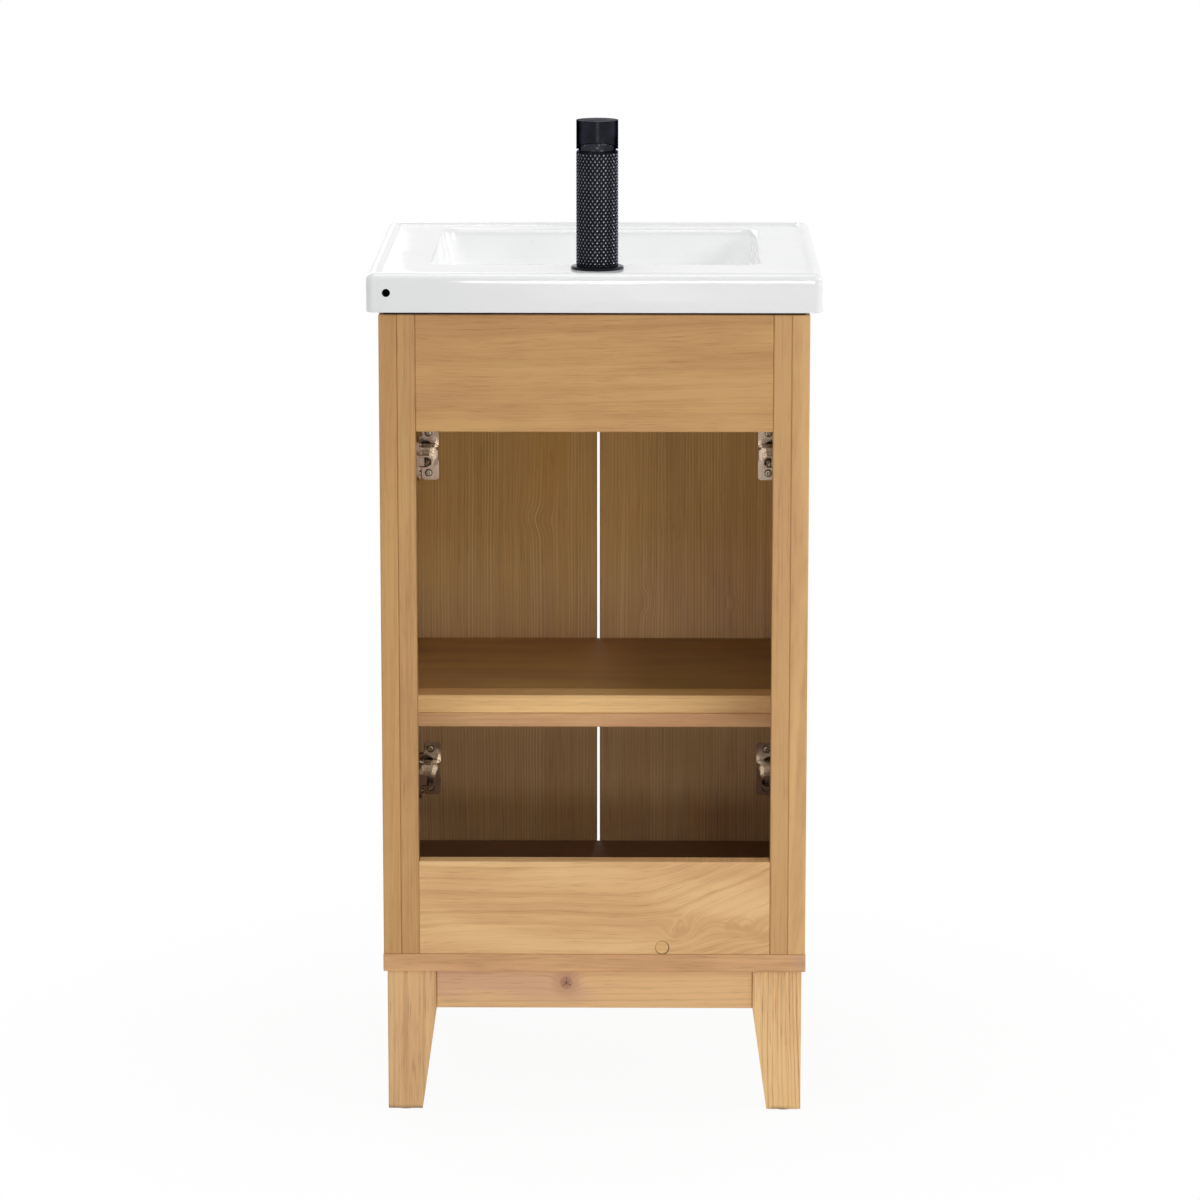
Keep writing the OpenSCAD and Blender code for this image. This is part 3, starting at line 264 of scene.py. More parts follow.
def wood(name, along, across, heart, ring, depth=0.2, tilt=0.0, wander=0.006, lines=0.3, sharp=0.15,
         fibre=0.3, pale=0.0, combed=0.0, dashes=0.15, mottle=0.4, pink=0.4, tone=(1, 1, 1), light=HONEY,
         dark=HONEY_DARK, blush=HONEY_PINK, faded=FADED, knots=(), swirls=(), rise=None, streaks=(),
         plug=None, feet=False, painted_light=None, outer=None, shift=0.0, sheen=0.30):
    """Stained softwood. The growth rings are circles round a heart line that runs along the board:
    distance = length of (across - heart, deep + depth + tilt * along), bent by slow noise.
    A swirl (a, b, width, lift) lifts that distance in a hill exp(-(d / width)^2) along the line from a to
    b, so that the rings close round it, and a rise (place, slope) lets the rings climb from one place on.
    Late wood is the dark end of each ring, from the share sharp on, and fades in and out along the board.
    The fine threads are noise of that same distance, so they follow the rings. Combed wood has a pale line
    in each ring instead. A streak (a, b, width, colour, amount) is a soft stain along a line. Painted light
    (from, to, tone) takes on the tone from one place along the board to another: painted light or painted
    shade, not a change in the wood. An outer side (depth, tone) is where the depth is less than that: it has
    the tone instead and no painted light."""
    f = Finish(name)
    xyz = f.axes()
    deep = ({"x", "y", "z"} - {along, across}).pop()
    u = xyz[along]
    v = xyz[across]
    w = xyz[deep]

    # growth rings
    slow = f.noise(f.point(u * 2.0 + shift, v * 7.0, w * 7.0))
    bend = f.noise(f.point(u * 9.0, v * 34.0 + shift, w * 34.0))
    distance = (v - heart).length(w + (u * tilt + depth))
    distance = distance + (slow - 0.5) * wander + (bend - 0.5) * (wander * 0.16)
    for a, b, width, lift in swirls:
        near = near_line(u, v, a, b)
        distance = distance + (near * near / (-width * width)).maths("EXPONENT") * lift
    if rise:
        place, slope = rise
        distance = distance + (place - u).maths("SMOOTH_MAX", 0.0, 0.05) * slope
    uneven = f.noise(f.point(distance * 40.0, 3.0 + shift, u * 0.6))
    turn = (distance / ring + uneven * 2.4).maths("FRACT")
    fading = f.noise(f.point(u * 1.7 + shift, distance * 55.0, 5.0)).step(0.36, 0.60, 0.25, 1.0)
    late = turn.step(sharp, 0.86) * turn.step(1.0, 0.90) * uneven.step(0.25, 0.65, 0.25, 1.0) * fading

    # threads, pores and clouds of stain
    threads = f.noise(f.point(distance * 460.0, u * 5.0 + shift, w * 3.0), detail=3.0, rough=0.6)
    fine = f.noise(f.point(distance * 1150.0, u * 30.0 + shift, w * 9.0), detail=1.0)
    cloud = f.noise(f.point(u * 4.4, v * 21.0 + shift, w * 21.0), detail=3.0)
    pores = fine.step(0.60, 0.70) * cloud.step(0.35, 0.6, 0.3, 1.0)
    stain = (late * (1.25 * lines) + (threads - 0.5) * (3.4 * fibre) + (fine - 0.5) * (1.6 * fibre)
             + (cloud - 0.5) * (2.2 * mottle) + 0.10)
    colour = f.blend(stained(light, tone), stained(blush, tone), cloud.step(0.40, 0.66) * pink)
    colour = f.blend(colour, stained(dark, tone), stain.maths("MAXIMUM", 0.0).maths("MINIMUM", 1.0))
    if pale:
        thin = f.noise(f.point(distance * 620.0 + 5.0, u * 3.0, shift))
        colour = f.blend(colour, stained(faded, tone), thin.step(0.50, 0.72) * pale)
    if combed:
        comb = turn.step(0.30, 0.52) * turn.step(0.86, 0.60) * uneven.step(0.25, 0.6, 0.35, 1.0)
        colour = f.blend(colour, stained(faded, tone), comb * fading * combed)
    colour = f.blend(colour, stained(dark, PORE), pores * dashes)

    # marks of this one board
    for a, b, width, shade, amount in streaks:
        soft = near_line(u, v, a, b) + (bend - 0.5) * (width * 2.2)
        colour = f.blend(colour, stained(shade, tone), soft.step(width * 1.1, width * 0.2) * amount)
    for knot in knots:
        colour = knot_marks(f, colour, u, v, bend, knot)
    if plug:
        colour = plug_gap(f, colour, u, v, plug)
    # painted light and painted shade: the colour times a tone from one place along the board to another
    if painted_light:
        start, end, painted_tone = painted_light
        share = u.step(start, end)
        if outer:
            behind, outer_tone = outer
            hidden = w.maths("GREATER_THAN", behind)
            share = share * hidden
            colour = f.blend(colour, rgba(*outer_tone), 1.0 - hidden, "MULTIPLY")
        colour = f.blend(colour, rgba(*painted_tone), share, "MULTIPLY")
    if feet:
        dirt = xyz["z"].step(0.0065, 0.002) * bend.step(0.35, 0.6)
        colour = f.blend(colour, FLOOR_DIRT, dirt * 0.6)
    height = threads * 0.5 - pores * 0.8 - late * 0.25
    rough = 0.52 + (threads - 0.5) * 0.16 + pores * 0.12
    return f.surface(colour, rough, f.bump(height, 0.00012), Specular_IOR_Level=sheen)


def glaze():
    """White glaze: nearly even colour, a slow waviness, and a few faint specks. The bowl is whiter: painted
    light.
    The vent hole is unglazed, and its inside is painted near-black as shade: it is where the distance from
    the hole's axis is under its radius and y is between the hole's end and the slab's back."""
    f = Finish("white_glaze")
    xyz = f.axes()
    wave = f.noise(f.place, 11.0, 1.0)
    fine = f.noise(f.place, 210.0, 1.0)
    tone = f.noise(f.place, 6.0)
    colour = f.blend(rgba(0.790, 0.800, 0.800), rgba(0.815, 0.820, 0.815), tone.step(0.35, 0.65))
    # painted light: the inside of the bowl is whiter than the rest of the glaze
    bowl_painted_light = (xyz["z"].step(DECK_Z / 1000, (DECK_Z - 10) / 1000)
            * xyz["x"].maths("ABSOLUTE").maths("LESS_THAN", (BASIN_W / 2 + LIP_R) / 1000)
            * xyz["y"].between((BASIN_FRONT - LIP_R) / 1000, (BASIN_BACK + LIP_R) / 1000))
    colour = f.blend(colour, rgba(0.948, 0.952, 0.952), bowl_painted_light)
    speck = f.noise(f.place, 520.0, 0.0).step(0.80, 0.86)
    colour = f.blend(colour, rgba(0.62, 0.61, 0.58), speck * 0.4)
    # the vent hole: rougher where unglazed, and painted near-black as shade
    axis = (xyz["x"] - VENT_X / 1000).length(xyz["z"] - VENT_Z / 1000)
    inside = (axis.maths("LESS_THAN", (VENT_R + 0.1) / 1000)
              * xyz["y"].between((SLAB_BACK - VENT_DEPTH - 1) / 1000, (SLAB_BACK - 0.25) / 1000))
    colour = f.blend(colour, rgba(0.004, 0.004, 0.004), inside)
    rough = tone.step(0.2, 0.8, 0.05, 0.10) + inside * 0.85
    return f.surface(colour, rough, f.bump(wave + fine * 0.012, 0.0011), IOR=1.52)


def black_plating(name, low, high, base=(0.0135, 0.0140, 0.0170), edge=(1.0, 1.0, 1.0), worn=None):
    """Satin black plating: a dark metal whose sheen wanders a little between the roughnesses low and high,
    with fine brush marks round Z. With worn, the attribute tip says how high a point stands, and the
    colour goes from half base in the grooves, which is painted shade, to worn on the tips."""
    f = Finish(name)
    xyz = f.axes()
    soft = f.noise(f.place, 60.0, 3.0)
    brush = f.noise(f.point(xyz["x"] * 60.0, xyz["y"] * 60.0, xyz["z"] * 2600.0))
    lighter = rgba(base[0] * 1.7, base[1] * 1.7, base[2] * 1.8)
    colour = f.blend(rgba(*base), lighter, soft.step(0.35, 0.7) * 0.6)
    rough = soft.step(0.3, 0.7, low, high) + (brush - 0.5) * 0.05
    if worn:
        # output 2 gives the attribute as one number
        tip = f.node("ShaderNodeAttribute", {"attribute_name": "tip"}, out=2)
        # darker in the grooves: painted shade; lighter on the tips: wear
        colour = f.blend(shaded(base, 0.45), colour, tip.step(0.05, 0.45))
        colour = f.blend(colour, rgba(*worn), tip.step(0.45, 0.95))
    return f.surface(colour, rough, f.bump(brush, 0.00002), Metallic=1.0, Specular_Tint=rgba(*edge))


def plated_steel(name, colour, low, high, grime, screw_shade_rings=False):
    """Plated pressed steel: bright, with cloudy handling marks, fine scratches and grime. Screw rings are
    painted shade: dark rings round the four flange screws of each door, where a gap round each head would be
    in shade. |x|, |z - middle| and once more |.| fold all eight screws onto one, and the ring is a band of
    the distance from it."""
    f = Finish(name)
    soft = f.noise(f.place, 45.0, 3.0)
    scratch = f.noise(f.node("ShaderNodeMapping", None, {"Vector": f.place, "Scale": (90.0, 90.0, 2400.0)}))
    base = f.blend(rgba(*colour), shaded(colour, 0.45), soft.step(0.45, 0.75) * grime)
    if screw_shade_rings:
        xyz = f.axes()
        lower, upper = HINGE_Z
        half = (xyz["z"] - (upper + lower) / 2000).maths("ABSOLUTE") - (upper - lower) / 2000
        reach = (xyz["x"].maths("ABSOLUTE") - CUP_SCREW_X / 1000).length(
            half.maths("ABSOLUTE") - CUP_SCREW_Z / 1000)
        # painted shade round the flange screws
        base = f.blend(base, rgba(0.035, 0.024, 0.014), reach.step(0.0047, 0.0039) * 0.9)
    rough = soft.step(0.3, 0.75, low, high) + (scratch - 0.5) * 0.10
    return f.surface(base, rough, f.bump(scratch, 0.00001), Metallic=1.0)


def moulded(name, colour, rough):
    """Moulded plastic or rubber: fine even grain and a slow change of tone."""
    f = Finish(name)
    fine = f.noise(f.place, 900.0)
    slow = f.noise(f.place, 40.0)
    base = f.blend(rgba(*colour), shaded(colour, 0.72), slow.step(0.3, 0.8))
    return f.surface(base, fine.step(0.2, 0.8, rough - 0.06, rough + 0.08), f.bump(fine, 0.00005))


# Shapes

def mesh_of(name, points, faces, material, angle=35):
    """A mesh object from points in millimetres and arrays of faces, one array for each number of corners.
    Edges sharper than the angle in degrees stay sharp."""
    mesh = bpy.data.meshes.new(name)
    mesh.from_pydata((np.asarray(points, float) / 1000).tolist(), [], sum((f.tolist() for f in faces), []))
    mesh.update()
    mesh.shade_smooth()
    mesh.set_sharp_from_angle(angle=math.radians(angle))
    mesh.materials.append(material)
    piece = bpy.data.objects.new(name, mesh)
    bpy.context.scene.collection.objects.link(piece)
    return piece


def grid_faces(rows, columns, wrap_rows=False):
    """Quads between neighbours of a grid whose points are numbered row by row and whose rows are closed."""
    r = np.arange(rows if wrap_rows else rows - 1)
    c = np.arange(columns)
    r, c = np.meshgrid(r, c, indexing="ij")
    r2 = (r + 1) % rows
    c2 = (c + 1) % columns
    quads = np.stack([r * columns + c, r * columns + c2, r2 * columns + c2, r2 * columns + c], -1)
    return quads.reshape(-1, 4)


def fans(rings, columns, low_point, high_point):
    """Triangles that close a stack of rings with one point below the first ring and one over the last."""
    i = np.arange(columns)
    last = (rings - 1) * columns
    low = np.stack([(i + 1) % columns, i, np.full(columns, low_point)], -1)
    high = np.stack([last + i, last + (i + 1) % columns, np.full(columns, high_point)], -1)
    return low, high


def turned(name, profile, centre, material, steps, axis="z"):
    """A turned piece: each point (radius, height) of the profile carried round the axis. The profile starts
    and ends on the axis, where all its points are one."""
    profile = np.asarray(profile, float)
    inner = profile[1:-1]
    t = np.linspace(0, 2 * math.pi, steps, endpoint=False)
    ring = np.stack([inner[:, :1] * np.cos(t), inner[:, :1] * np.sin(t),
                     np.repeat(inner[:, 1:], steps, 1)], -1).reshape(-1, 3)
    points = np.vstack([ring, [[0, 0, profile[0, 1]], [0, 0, profile[-1, 1]]]])
    faces = [grid_faces(len(inner), steps), *fans(len(inner), steps, len(ring), len(ring) + 1)]
    if axis == "-y":
        points = np.stack([points[:, 0], -points[:, 2], points[:, 1]], -1)
    return mesh_of(name, points + np.asarray(centre, float), faces, material)


def rod(name, r, low, high, centre, material, steps, axis="z"):
    """A plain round rod, which cuts a hole."""
    return turned(name, [(0, low), (r, low), (r, high), (0, high)], centre, material, steps, axis)


def arc(cx, cy, r, start, end, n):
    """Points of a circle's arc between two angles in degrees, as (radius, height)."""
    a = np.radians(np.linspace(start, end, n))
    return np.stack([cx + r * np.cos(a), cy + r * np.sin(a)], -1)


def round_rect_reach(angles, origin, centre, half, radius):
    """Where a ray from origin at each angle meets a rectangle with round corners: at the distance at which
    the corner formula |max(|p| - (half - r), 0)| - r is zero, found by halving."""
    direction = np.stack([np.cos(angles), np.sin(angles)], -1)
    offset = origin - centre
    half = np.asarray(half, float)
    low = np.zeros(len(angles))
    high = np.full(len(angles), 900.0)
    for _ in range(46):
        middle = (low + high) / 2
        q = np.abs(offset + direction * middle[:, None]) - (half - radius)
        gap = np.hypot(*np.maximum(q, 0).T) + np.minimum(q.max(1), 0) - radius
        low = np.where(gap < 0, middle, low)
        high = np.where(gap < 0, high, middle)
    return origin + direction * middle[:, None]


# The ceramic top is a stack of levels. A level is a middle, half sizes, the radius of the corners and Z.

def circle(r, z):
    """A round level: a square whose corners are all but the whole of it."""
    return BOWL, (r, r), r - 0.001, z


def drain_hole(under):
    """Up the hole in the bowl's floor, whose two edges are rounded, and out over the drain's seat."""
    yield circle(DRAIN_R + 1.5, under)
    yield circle(DRAIN_R + 0.4, under + 0.4)
    yield circle(DRAIN_R, under + 1.5)
    yield circle(DRAIN_R, BASIN_FLOOR - 1.5)
    yield circle(DRAIN_R + 0.4, BASIN_FLOOR - 0.4)
    yield circle(DRAIN_R + 1.5, BASIN_FLOOR)
    yield circle(DRAIN_SEAT_R, BASIN_FLOOR)


def bowl_inside():
    """Floor, round foot, leaning wall and round mouth. At the angle a of the foot's round of radius r a
    level stands r sin a out and (r - the floor's rise) (1 - cos a) up. At the angle a of the mouth's round
    it stands r (1 - cos a) out and r sin a up."""
    flat = BOWL_HALF - BASIN_LEAN - FOOT_R
    first = 36                      # half size and radius from which the floor's levels grow
    corner = 12                     # radius to which their corners shrink
    for share in np.linspace(0.12, 1, 9):
        yield (BOWL, first + (flat - first) * share, first - (first - corner) * share,
               BASIN_FLOOR + FLOOR_RISE * (0.3 + 0.7 * share))
    foot = BASIN_FLOOR + FLOOR_RISE
    foot_rise = FOOT_R - FLOOR_RISE
    steepest = 82                   # degrees, where the round foot meets the wall
    for a in np.radians(np.linspace(8, steepest, 12)):
        grow = FOOT_R * math.sin(a)
        yield BOWL, flat + grow, max(corner, grow), foot + foot_rise * (1 - math.cos(a))
    start = foot + foot_rise * (1 - math.cos(math.radians(steepest)))
    top = DECK_Z - LIP_R
    for share in np.linspace(0.12, 1, 9):
        yield (BOWL, BOWL_HALF - BASIN_LEAN * (1 - share) - LIP_INSET, FOOT_R + (MOUTH_R - FOOT_R) * share,
               start + (top - start) * share)
    for a in np.radians(np.linspace(12, 90, 8)):
        out = LIP_R * (1 - math.cos(a))
        yield BOWL, BOWL_HALF - LIP_INSET + out, MOUTH_R + out, top + LIP_R * math.sin(a)


def deck_and_edge():
    """Deck, the raised rim with its soft rise, the slab's round upper edge, its side and lower edge. The
    rise is 3 s^2 - 2 s^3 of the share s of its width."""
    rise_start = RIM_W + 1.6
    rise_width = 6.0
    for inset in (16.0, 14.6, 13.2, 12.0, 10.8, 9.7, 8.7):
        share = min(1.0, max(0.0, (rise_start - inset) / rise_width))
        rise = share * share * (3 - 2 * share)
        yield SLAB, SLAB_HALF - inset, max(2.0, SLAB_R - inset * 0.3), DECK_Z + (SLAB_TOP - DECK_Z) * rise
    for a in np.radians(np.linspace(90, 0, 12)):
        back = EDGE_R * (1 - math.cos(a))
        yield SLAB, SLAB_HALF - back, max(2.5, SLAB_R - back * 0.6), SLAB_TOP - EDGE_R * (1 - math.sin(a))
    for z in (SLAB_TOP - 11, SLAB_Z + 12, SLAB_Z + 2.0):
        yield SLAB, SLAB_HALF, SLAB_R, z
    for a in np.radians((30, 60, 90)):
        yield (SLAB, SLAB_HALF - LOWER_EDGE_R * (1 - math.cos(a)), SLAB_R - 0.5,
               SLAB_Z + LOWER_EDGE_R * (1 - math.sin(a)))


def bowl_outside(under):
    """Down the outside of the bowl under the slab, and round its foot to the drain hole."""
    outer = BOWL_HALF + BASIN_WALL
    foot = FOOT_R + BASIN_WALL
    neck = outer - 2                # half sizes where the bowl leaves the slab
    lean = BASIN_LEAN - 3
    drop = 30                       # height over which the outside leans in
    yield BOWL, neck, MOUTH_R, SLAB_Z
    for share in (0.2, 0.5, 0.8):
        yield BOWL, neck - lean * share, MOUTH_R + (foot - MOUTH_R) * share, SLAB_Z - drop * share
    for a in np.radians(np.linspace(76, 10, 9)):
        grow = foot * math.sin(a)
        yield (BOWL, outer - BASIN_LEAN - foot + grow, max(8, grow),
               under + 0.3 + (foot - 0.3) * (1 - math.cos(a)))
    yield circle(33.0, under)


def basin_angles():
    """Directions round the bowl's middle: even ones, and closer ones at the corners of slab and bowl."""
    angles = [np.linspace(0, 2 * math.pi, 288, endpoint=False)]
    for (wide, high), behind, spread in ((SLAB_HALF - 4, SLAB[1] - BOWL[1], 0.03),
                                         (BOWL_HALF - 8, 0.0, 0.09),
                                         (BOWL_HALF - 36, 0.0, 0.16)):
        for sx in (-1, 1):
            for sy in (-1, 1):
                middle = math.atan2(sy * high + behind, sx * wide) % (2 * math.pi)
                angles.append(middle + spread * np.linspace(-1, 1, 20))
    return np.unique(np.round(np.concatenate(angles) % (2 * math.pi), 5))


def basin_top(material):
    """The one-piece ceramic top: one closed skin of levels, each a rectangle with round corners (or a
    circle), from the drain hole up the bowl, over the mouth, deck and raised rim, round the slab's edge,
    back under it and down the outside of the bowl."""
    under = BASIN_FLOOR - BASIN_WALL
    angles = basin_angles()
    levels = [*drain_hole(under), *bowl_inside(), *deck_and_edge(), *bowl_outside(under)]
    rings = [np.column_stack([round_rect_reach(angles, BOWL, centre, half, radius),
                              np.full(len(angles), float(z))]) for centre, half, radius, z in levels]
    faces = grid_faces(len(rings), len(angles), wrap_rows=True)
    return mesh_of("sink_top_glazed", np.concatenate(rings), [faces], material, GLAZE_SHARP)


def cut(piece, *cutters):
    """Takes the cutters out of a piece and applies the result."""
    for cutter in cutters:
        made = piece.modifiers.new("cut", "BOOLEAN")
        made.operation = "DIFFERENCE"
        made.object = cutter
        made.solver = "EXACT"
    shape = bpy.data.meshes.new_from_object(piece.evaluated_get(bpy.context.evaluated_depsgraph_get()))
    piece.modifiers.clear()
    piece.data = shape
    for cutter in cutters:
        bpy.data.objects.remove(cutter)
    return piece


def knurled_body(material):
    """The tap's body: a turned skin whose radius drops in two crossing families of V grooves.
    groove(s) = 1 - |2 frac(s) - 1| is 0 at a groove's bottom and 1 between two; the lower of both families
    is the height of the diamond, faded out near both ends. A diamond spans six steps of the grid each way,
    so every crease runs along grid lines or diagonals, and each square is split along its own crease."""
    starts = 30                     # diamonds round the body
    rows_high = 19                  # and up it
    steps = 6
    groove_depth = 1.1
    plain_end = 1.4                 # height at each end over which the grooves fade out
    foot_bevel = 0.4                # height of the bevel at the foot
    top_bevel = 0.6                 # and of both bevels at the top, outer and inner
    end_drop = 0.25                 # how far the plain ends stay under the full radius
    hollow_floor = BODY_TOP - 4
    columns = starts * steps
    rows = rows_high * steps + 1
    t = np.linspace(0, 2 * math.pi, columns, endpoint=False)
    tt, zz = np.meshgrid(t, np.linspace(0, 1, rows))
    one = starts * tt / (2 * math.pi) + rows_high * zz
    two = starts * tt / (2 * math.pi) - rows_high * zz
    height = np.minimum(*(1 - np.abs(2 * (s % 1) - 1) for s in (one, two)))
    span = (BODY_TOP - top_bevel) - (BODY_Z + foot_bevel)
    fade = np.clip(np.minimum(zz, 1 - zz) * span / plain_end, 0, 1)
    radius = BODY_R - groove_depth * (1 - height) * fade - end_drop * (1 - fade)
    skin = np.stack([radius * np.cos(tt), radius * np.sin(tt), BODY_Z + foot_bevel + span * zz], -1)
    # plain rings: the foot, then the top with the hollow under the dome
    ends = [(BODY_R - 1.2, BODY_Z), (BODY_R - 0.9, BODY_TOP), (17.2, BODY_TOP),
            (16.8, BODY_TOP - top_bevel), (16.7, hollow_floor)]
    low, *high = [np.stack([r * np.cos(t), r * np.sin(t), np.full(columns, z)], -1) for r, z in ends]
    points = np.vstack([low, skin.reshape(-1, 3), *high, [[0, 0, BODY_Z]], [[0, 0, hollow_floor]]])
    total = 1 + rows + len(high)
    quads = grid_faces(total, columns)
    row, column = np.divmod(np.arange(len(quads)), columns)
    rising = (row + column) % steps == 0
    a, b, c, d = quads.T
    halves = np.where(rising[:, None], np.stack([a, b, d, b, c, d], -1), np.stack([a, b, c, a, c, d], -1))
    faces = [halves.reshape(-1, 3), *fans(total, columns, total * columns, total * columns + 1)]
    body = mesh_of("tap_body_knurled", points + np.array([TAP_X, TAP_Y, 0]), faces, material, angle=18)
    tip = np.full(len(points), 0.3)
    tip[columns:columns + height.size] = (height * fade).ravel()
    body.data.attributes.new("tip", "FLOAT", "POINT").data.foreach_set("value", tip.astype(np.float32))
    return body


def cross_screw(length, head_r, head_h, shank_r, material):
    """One screw along +Z with its head under Z 0: a turned head with a round edge, and a cross cut in it."""
    crown_r = head_r * 0.62         # flat middle of the head
    edge_r = 0.7
    profile = np.vstack([[(0, -head_h), (crown_r, -head_h)],
                         arc(head_r - edge_r, -head_h + 0.75, edge_r, -75, 0, 5),
                         [(head_r, 0), (shank_r, 0), (shank_r, length - 1), (0, length)]])
    screw = turned("screw", profile, (0, 0, 0), material, steps=40)
    arm_long = 2.0                  # half sizes of one arm of the cross
    arm_wide = 0.45
    recess = 0.9
    arms = []
    for x_reach, y_reach in ((arm_long, arm_wide), (arm_wide, arm_long)):
        corners = np.array([(x * x_reach, y * y_reach, z) for z in (-head_h - 1, -head_h + recess)
                            for x, y in ((-1, -1), (1, -1), (1, 1), (-1, 1))])
        sides = np.array([(3, 2, 1, 0), (4, 5, 6, 7), (0, 1, 5, 4), (1, 2, 6, 5), (2, 3, 7, 6),
                          (3, 0, 4, 7)])
        arms.append(mesh_of("cross", corners, [sides], material))
    return cut(screw, *arms)


def set_out(name, parts, material):
    """One piece from copies of models. A part is a model, the turn matrix of its copy and a shift in mm."""
    sheet = bmesh.new()
    for model, turn, shift in parts:
        copy = model.data.copy()
        copy.transform(Matrix.Translation(Vector(shift) / 1000) @ Matrix(turn).to_4x4())
        sheet.from_mesh(copy)
    mesh = bpy.data.meshes.new(name)
    sheet.to_mesh(mesh)
    sheet.free()
    mesh.materials.append(material)
    piece = bpy.data.objects.new(name, mesh)
    bpy.context.scene.collection.objects.link(piece)
    return piece


# Metals and plastics of the CAD nodes

glazed = glaze()
black = black_plating("black_satin", low=0.27, high=0.38)
black_cap = black_plating("black_cap", low=0.24, high=0.34, base=(0.0135, 0.0145, 0.0180),
                          edge=(0.20, 0.20, 0.24))
knurl_black = black_plating("black_knurl", low=0.19, high=0.26, base=(0.018, 0.019, 0.023),
                            edge=(0.40, 0.42, 0.50), worn=(0.215, 0.225, 0.255))
black_bright = black_plating("black_polish", low=0.14, high=0.20, base=(0.024, 0.025, 0.029),
                             edge=(0.3, 0.3, 0.33))
nickel = plated_steel("nickel_plate", (0.70, 0.575, 0.450), low=0.14, high=0.26, grime=0.35,
                      screw_shade_rings=True)
screw_steel = plated_steel("screw_plate", (0.46, 0.40, 0.30), low=0.18, high=0.30, grime=0.30)
zinc = plated_steel("zinc_plate", (0.60, 0.61, 0.62), low=0.28, high=0.48, grime=0.5)
bright = plated_steel("bright_plate", (0.62, 0.62, 0.63), low=0.10, high=0.22, grime=0.2)
# near black: the seal's colour, and painted shade for the dark line under the slab
seal = moulded("dark_seal", (0.008, 0.008, 0.008), rough=0.7)
washer = moulded("dark_washer", (0.03, 0.03, 0.03), rough=0.6)
glide = moulded("glide", (0.05, 0.048, 0.045), rough=0.5)
bumper = moulded("soft_bumper", (0.62, 0.62, 0.60), rough=0.35)
valve_plastic = moulded("valve_plastic", (0.62, 0.60, 0.54), rough=0.4)


# Woods of the CAD nodes. Places on a board are in metres, as (along, across).

def panel_wood(side, tone, shift):
    return wood(f"panel_wood_{side}", "z", "y", heart=0.9, depth=0.30, tilt=0.03, ring=0.0065, wander=0.014,
                lines=0.36, fibre=0.40, mottle=0.45, pink=0.45, dashes=0.06, tone=tone, shift=shift)


def post_wood(side, tone, shift):
    return wood(f"post_wood_{side}", "z", "x", heart=-1.1, depth=0.3, ring=0.0046, wander=0.004, lines=0.30,
                fibre=0.56, dashes=0.14, mottle=0.70, pink=0.6, tone=tone, shift=shift)


def door_wood(side, heart, tone, outer_tone, swirls, streaks=(), shift=0.0):
    """A door's wood: combed, and paler in the lower part of its inner side: painted light. The inner side is
    warmer than the outer side, which has a tone of its own: painted shade of the cabinet's inside.
    """
    return wood(f"door_wood_{side}", "z", "x", heart=heart, depth=0.30, tilt=0.02, ring=0.0034, wander=0.010,
                lines=0.0, fibre=0.30, pale=0.25, combed=0.50, mottle=0.26, pink=0.6, shift=shift,
                swirls=swirls, streaks=streaks, light=(0.640, 0.392, 0.138), dark=(0.43, 0.245, 0.085),
                blush=(0.600, 0.362, 0.150), faded=(0.860, 0.620, 0.300), tone=tone,
                painted_light=(0.57, 0.42, (1.33, 1.48, 2.05)), outer=((DOOR_BACK - 1) / 1000, outer_tone),
                sheen=0.12)


# The right panel and post have lighter tones than the left ones: painted light from the right
left_panel = panel_wood("left", (0.90, 0.885, 0.79), 0.0)
right_panel = panel_wood("right", (1.06, 1.09, 1.09), 6.0)
left_post = post_wood("left", (0.89, 0.89, 0.83), 1.0)
right_post = post_wood("right", (0.93, 0.92, 0.90), 8.0)
# The left door's tone is darker than the right one's: painted shade against the inner lamp's stronger light
# on it
left_door = door_wood("left", 0.9, (0.93, 0.89, 0.80), (1.03, 1.03, 1.42),
                      swirls=(((0.556, 0.064), (0.560, 0.078), 0.013, 0.0055),),
                      streaks=(((0.680, 0.052), (0.590, 0.060), 0.034, (0.640, 0.355, 0.090), 0.45),))
right_door = door_wood("right", -0.9, (0.99, 0.96, 0.92), (0.97, 0.955, 1.24),
                       swirls=(((0.460, -0.054), (0.468, -0.054), 0.009, 0.0055),
                               ((0.460, -0.150), (0.464, -0.150), 0.006, 0.004)), shift=4.2)
top_rail = wood("top_rail_wood", "x", "z", heart=-0.9, depth=0.12, tilt=0.02, ring=0.016, wander=0.030,
                lines=0.22, fibre=0.34, dashes=0.18, mottle=0.80, pink=0.6, tone=(0.93, 0.92, 0.84),
                streaks=(((-0.048, 0.784), (-0.085, 0.787), 0.0080, (0.49, 0.28, 0.12), 0.30),), shift=2.0)

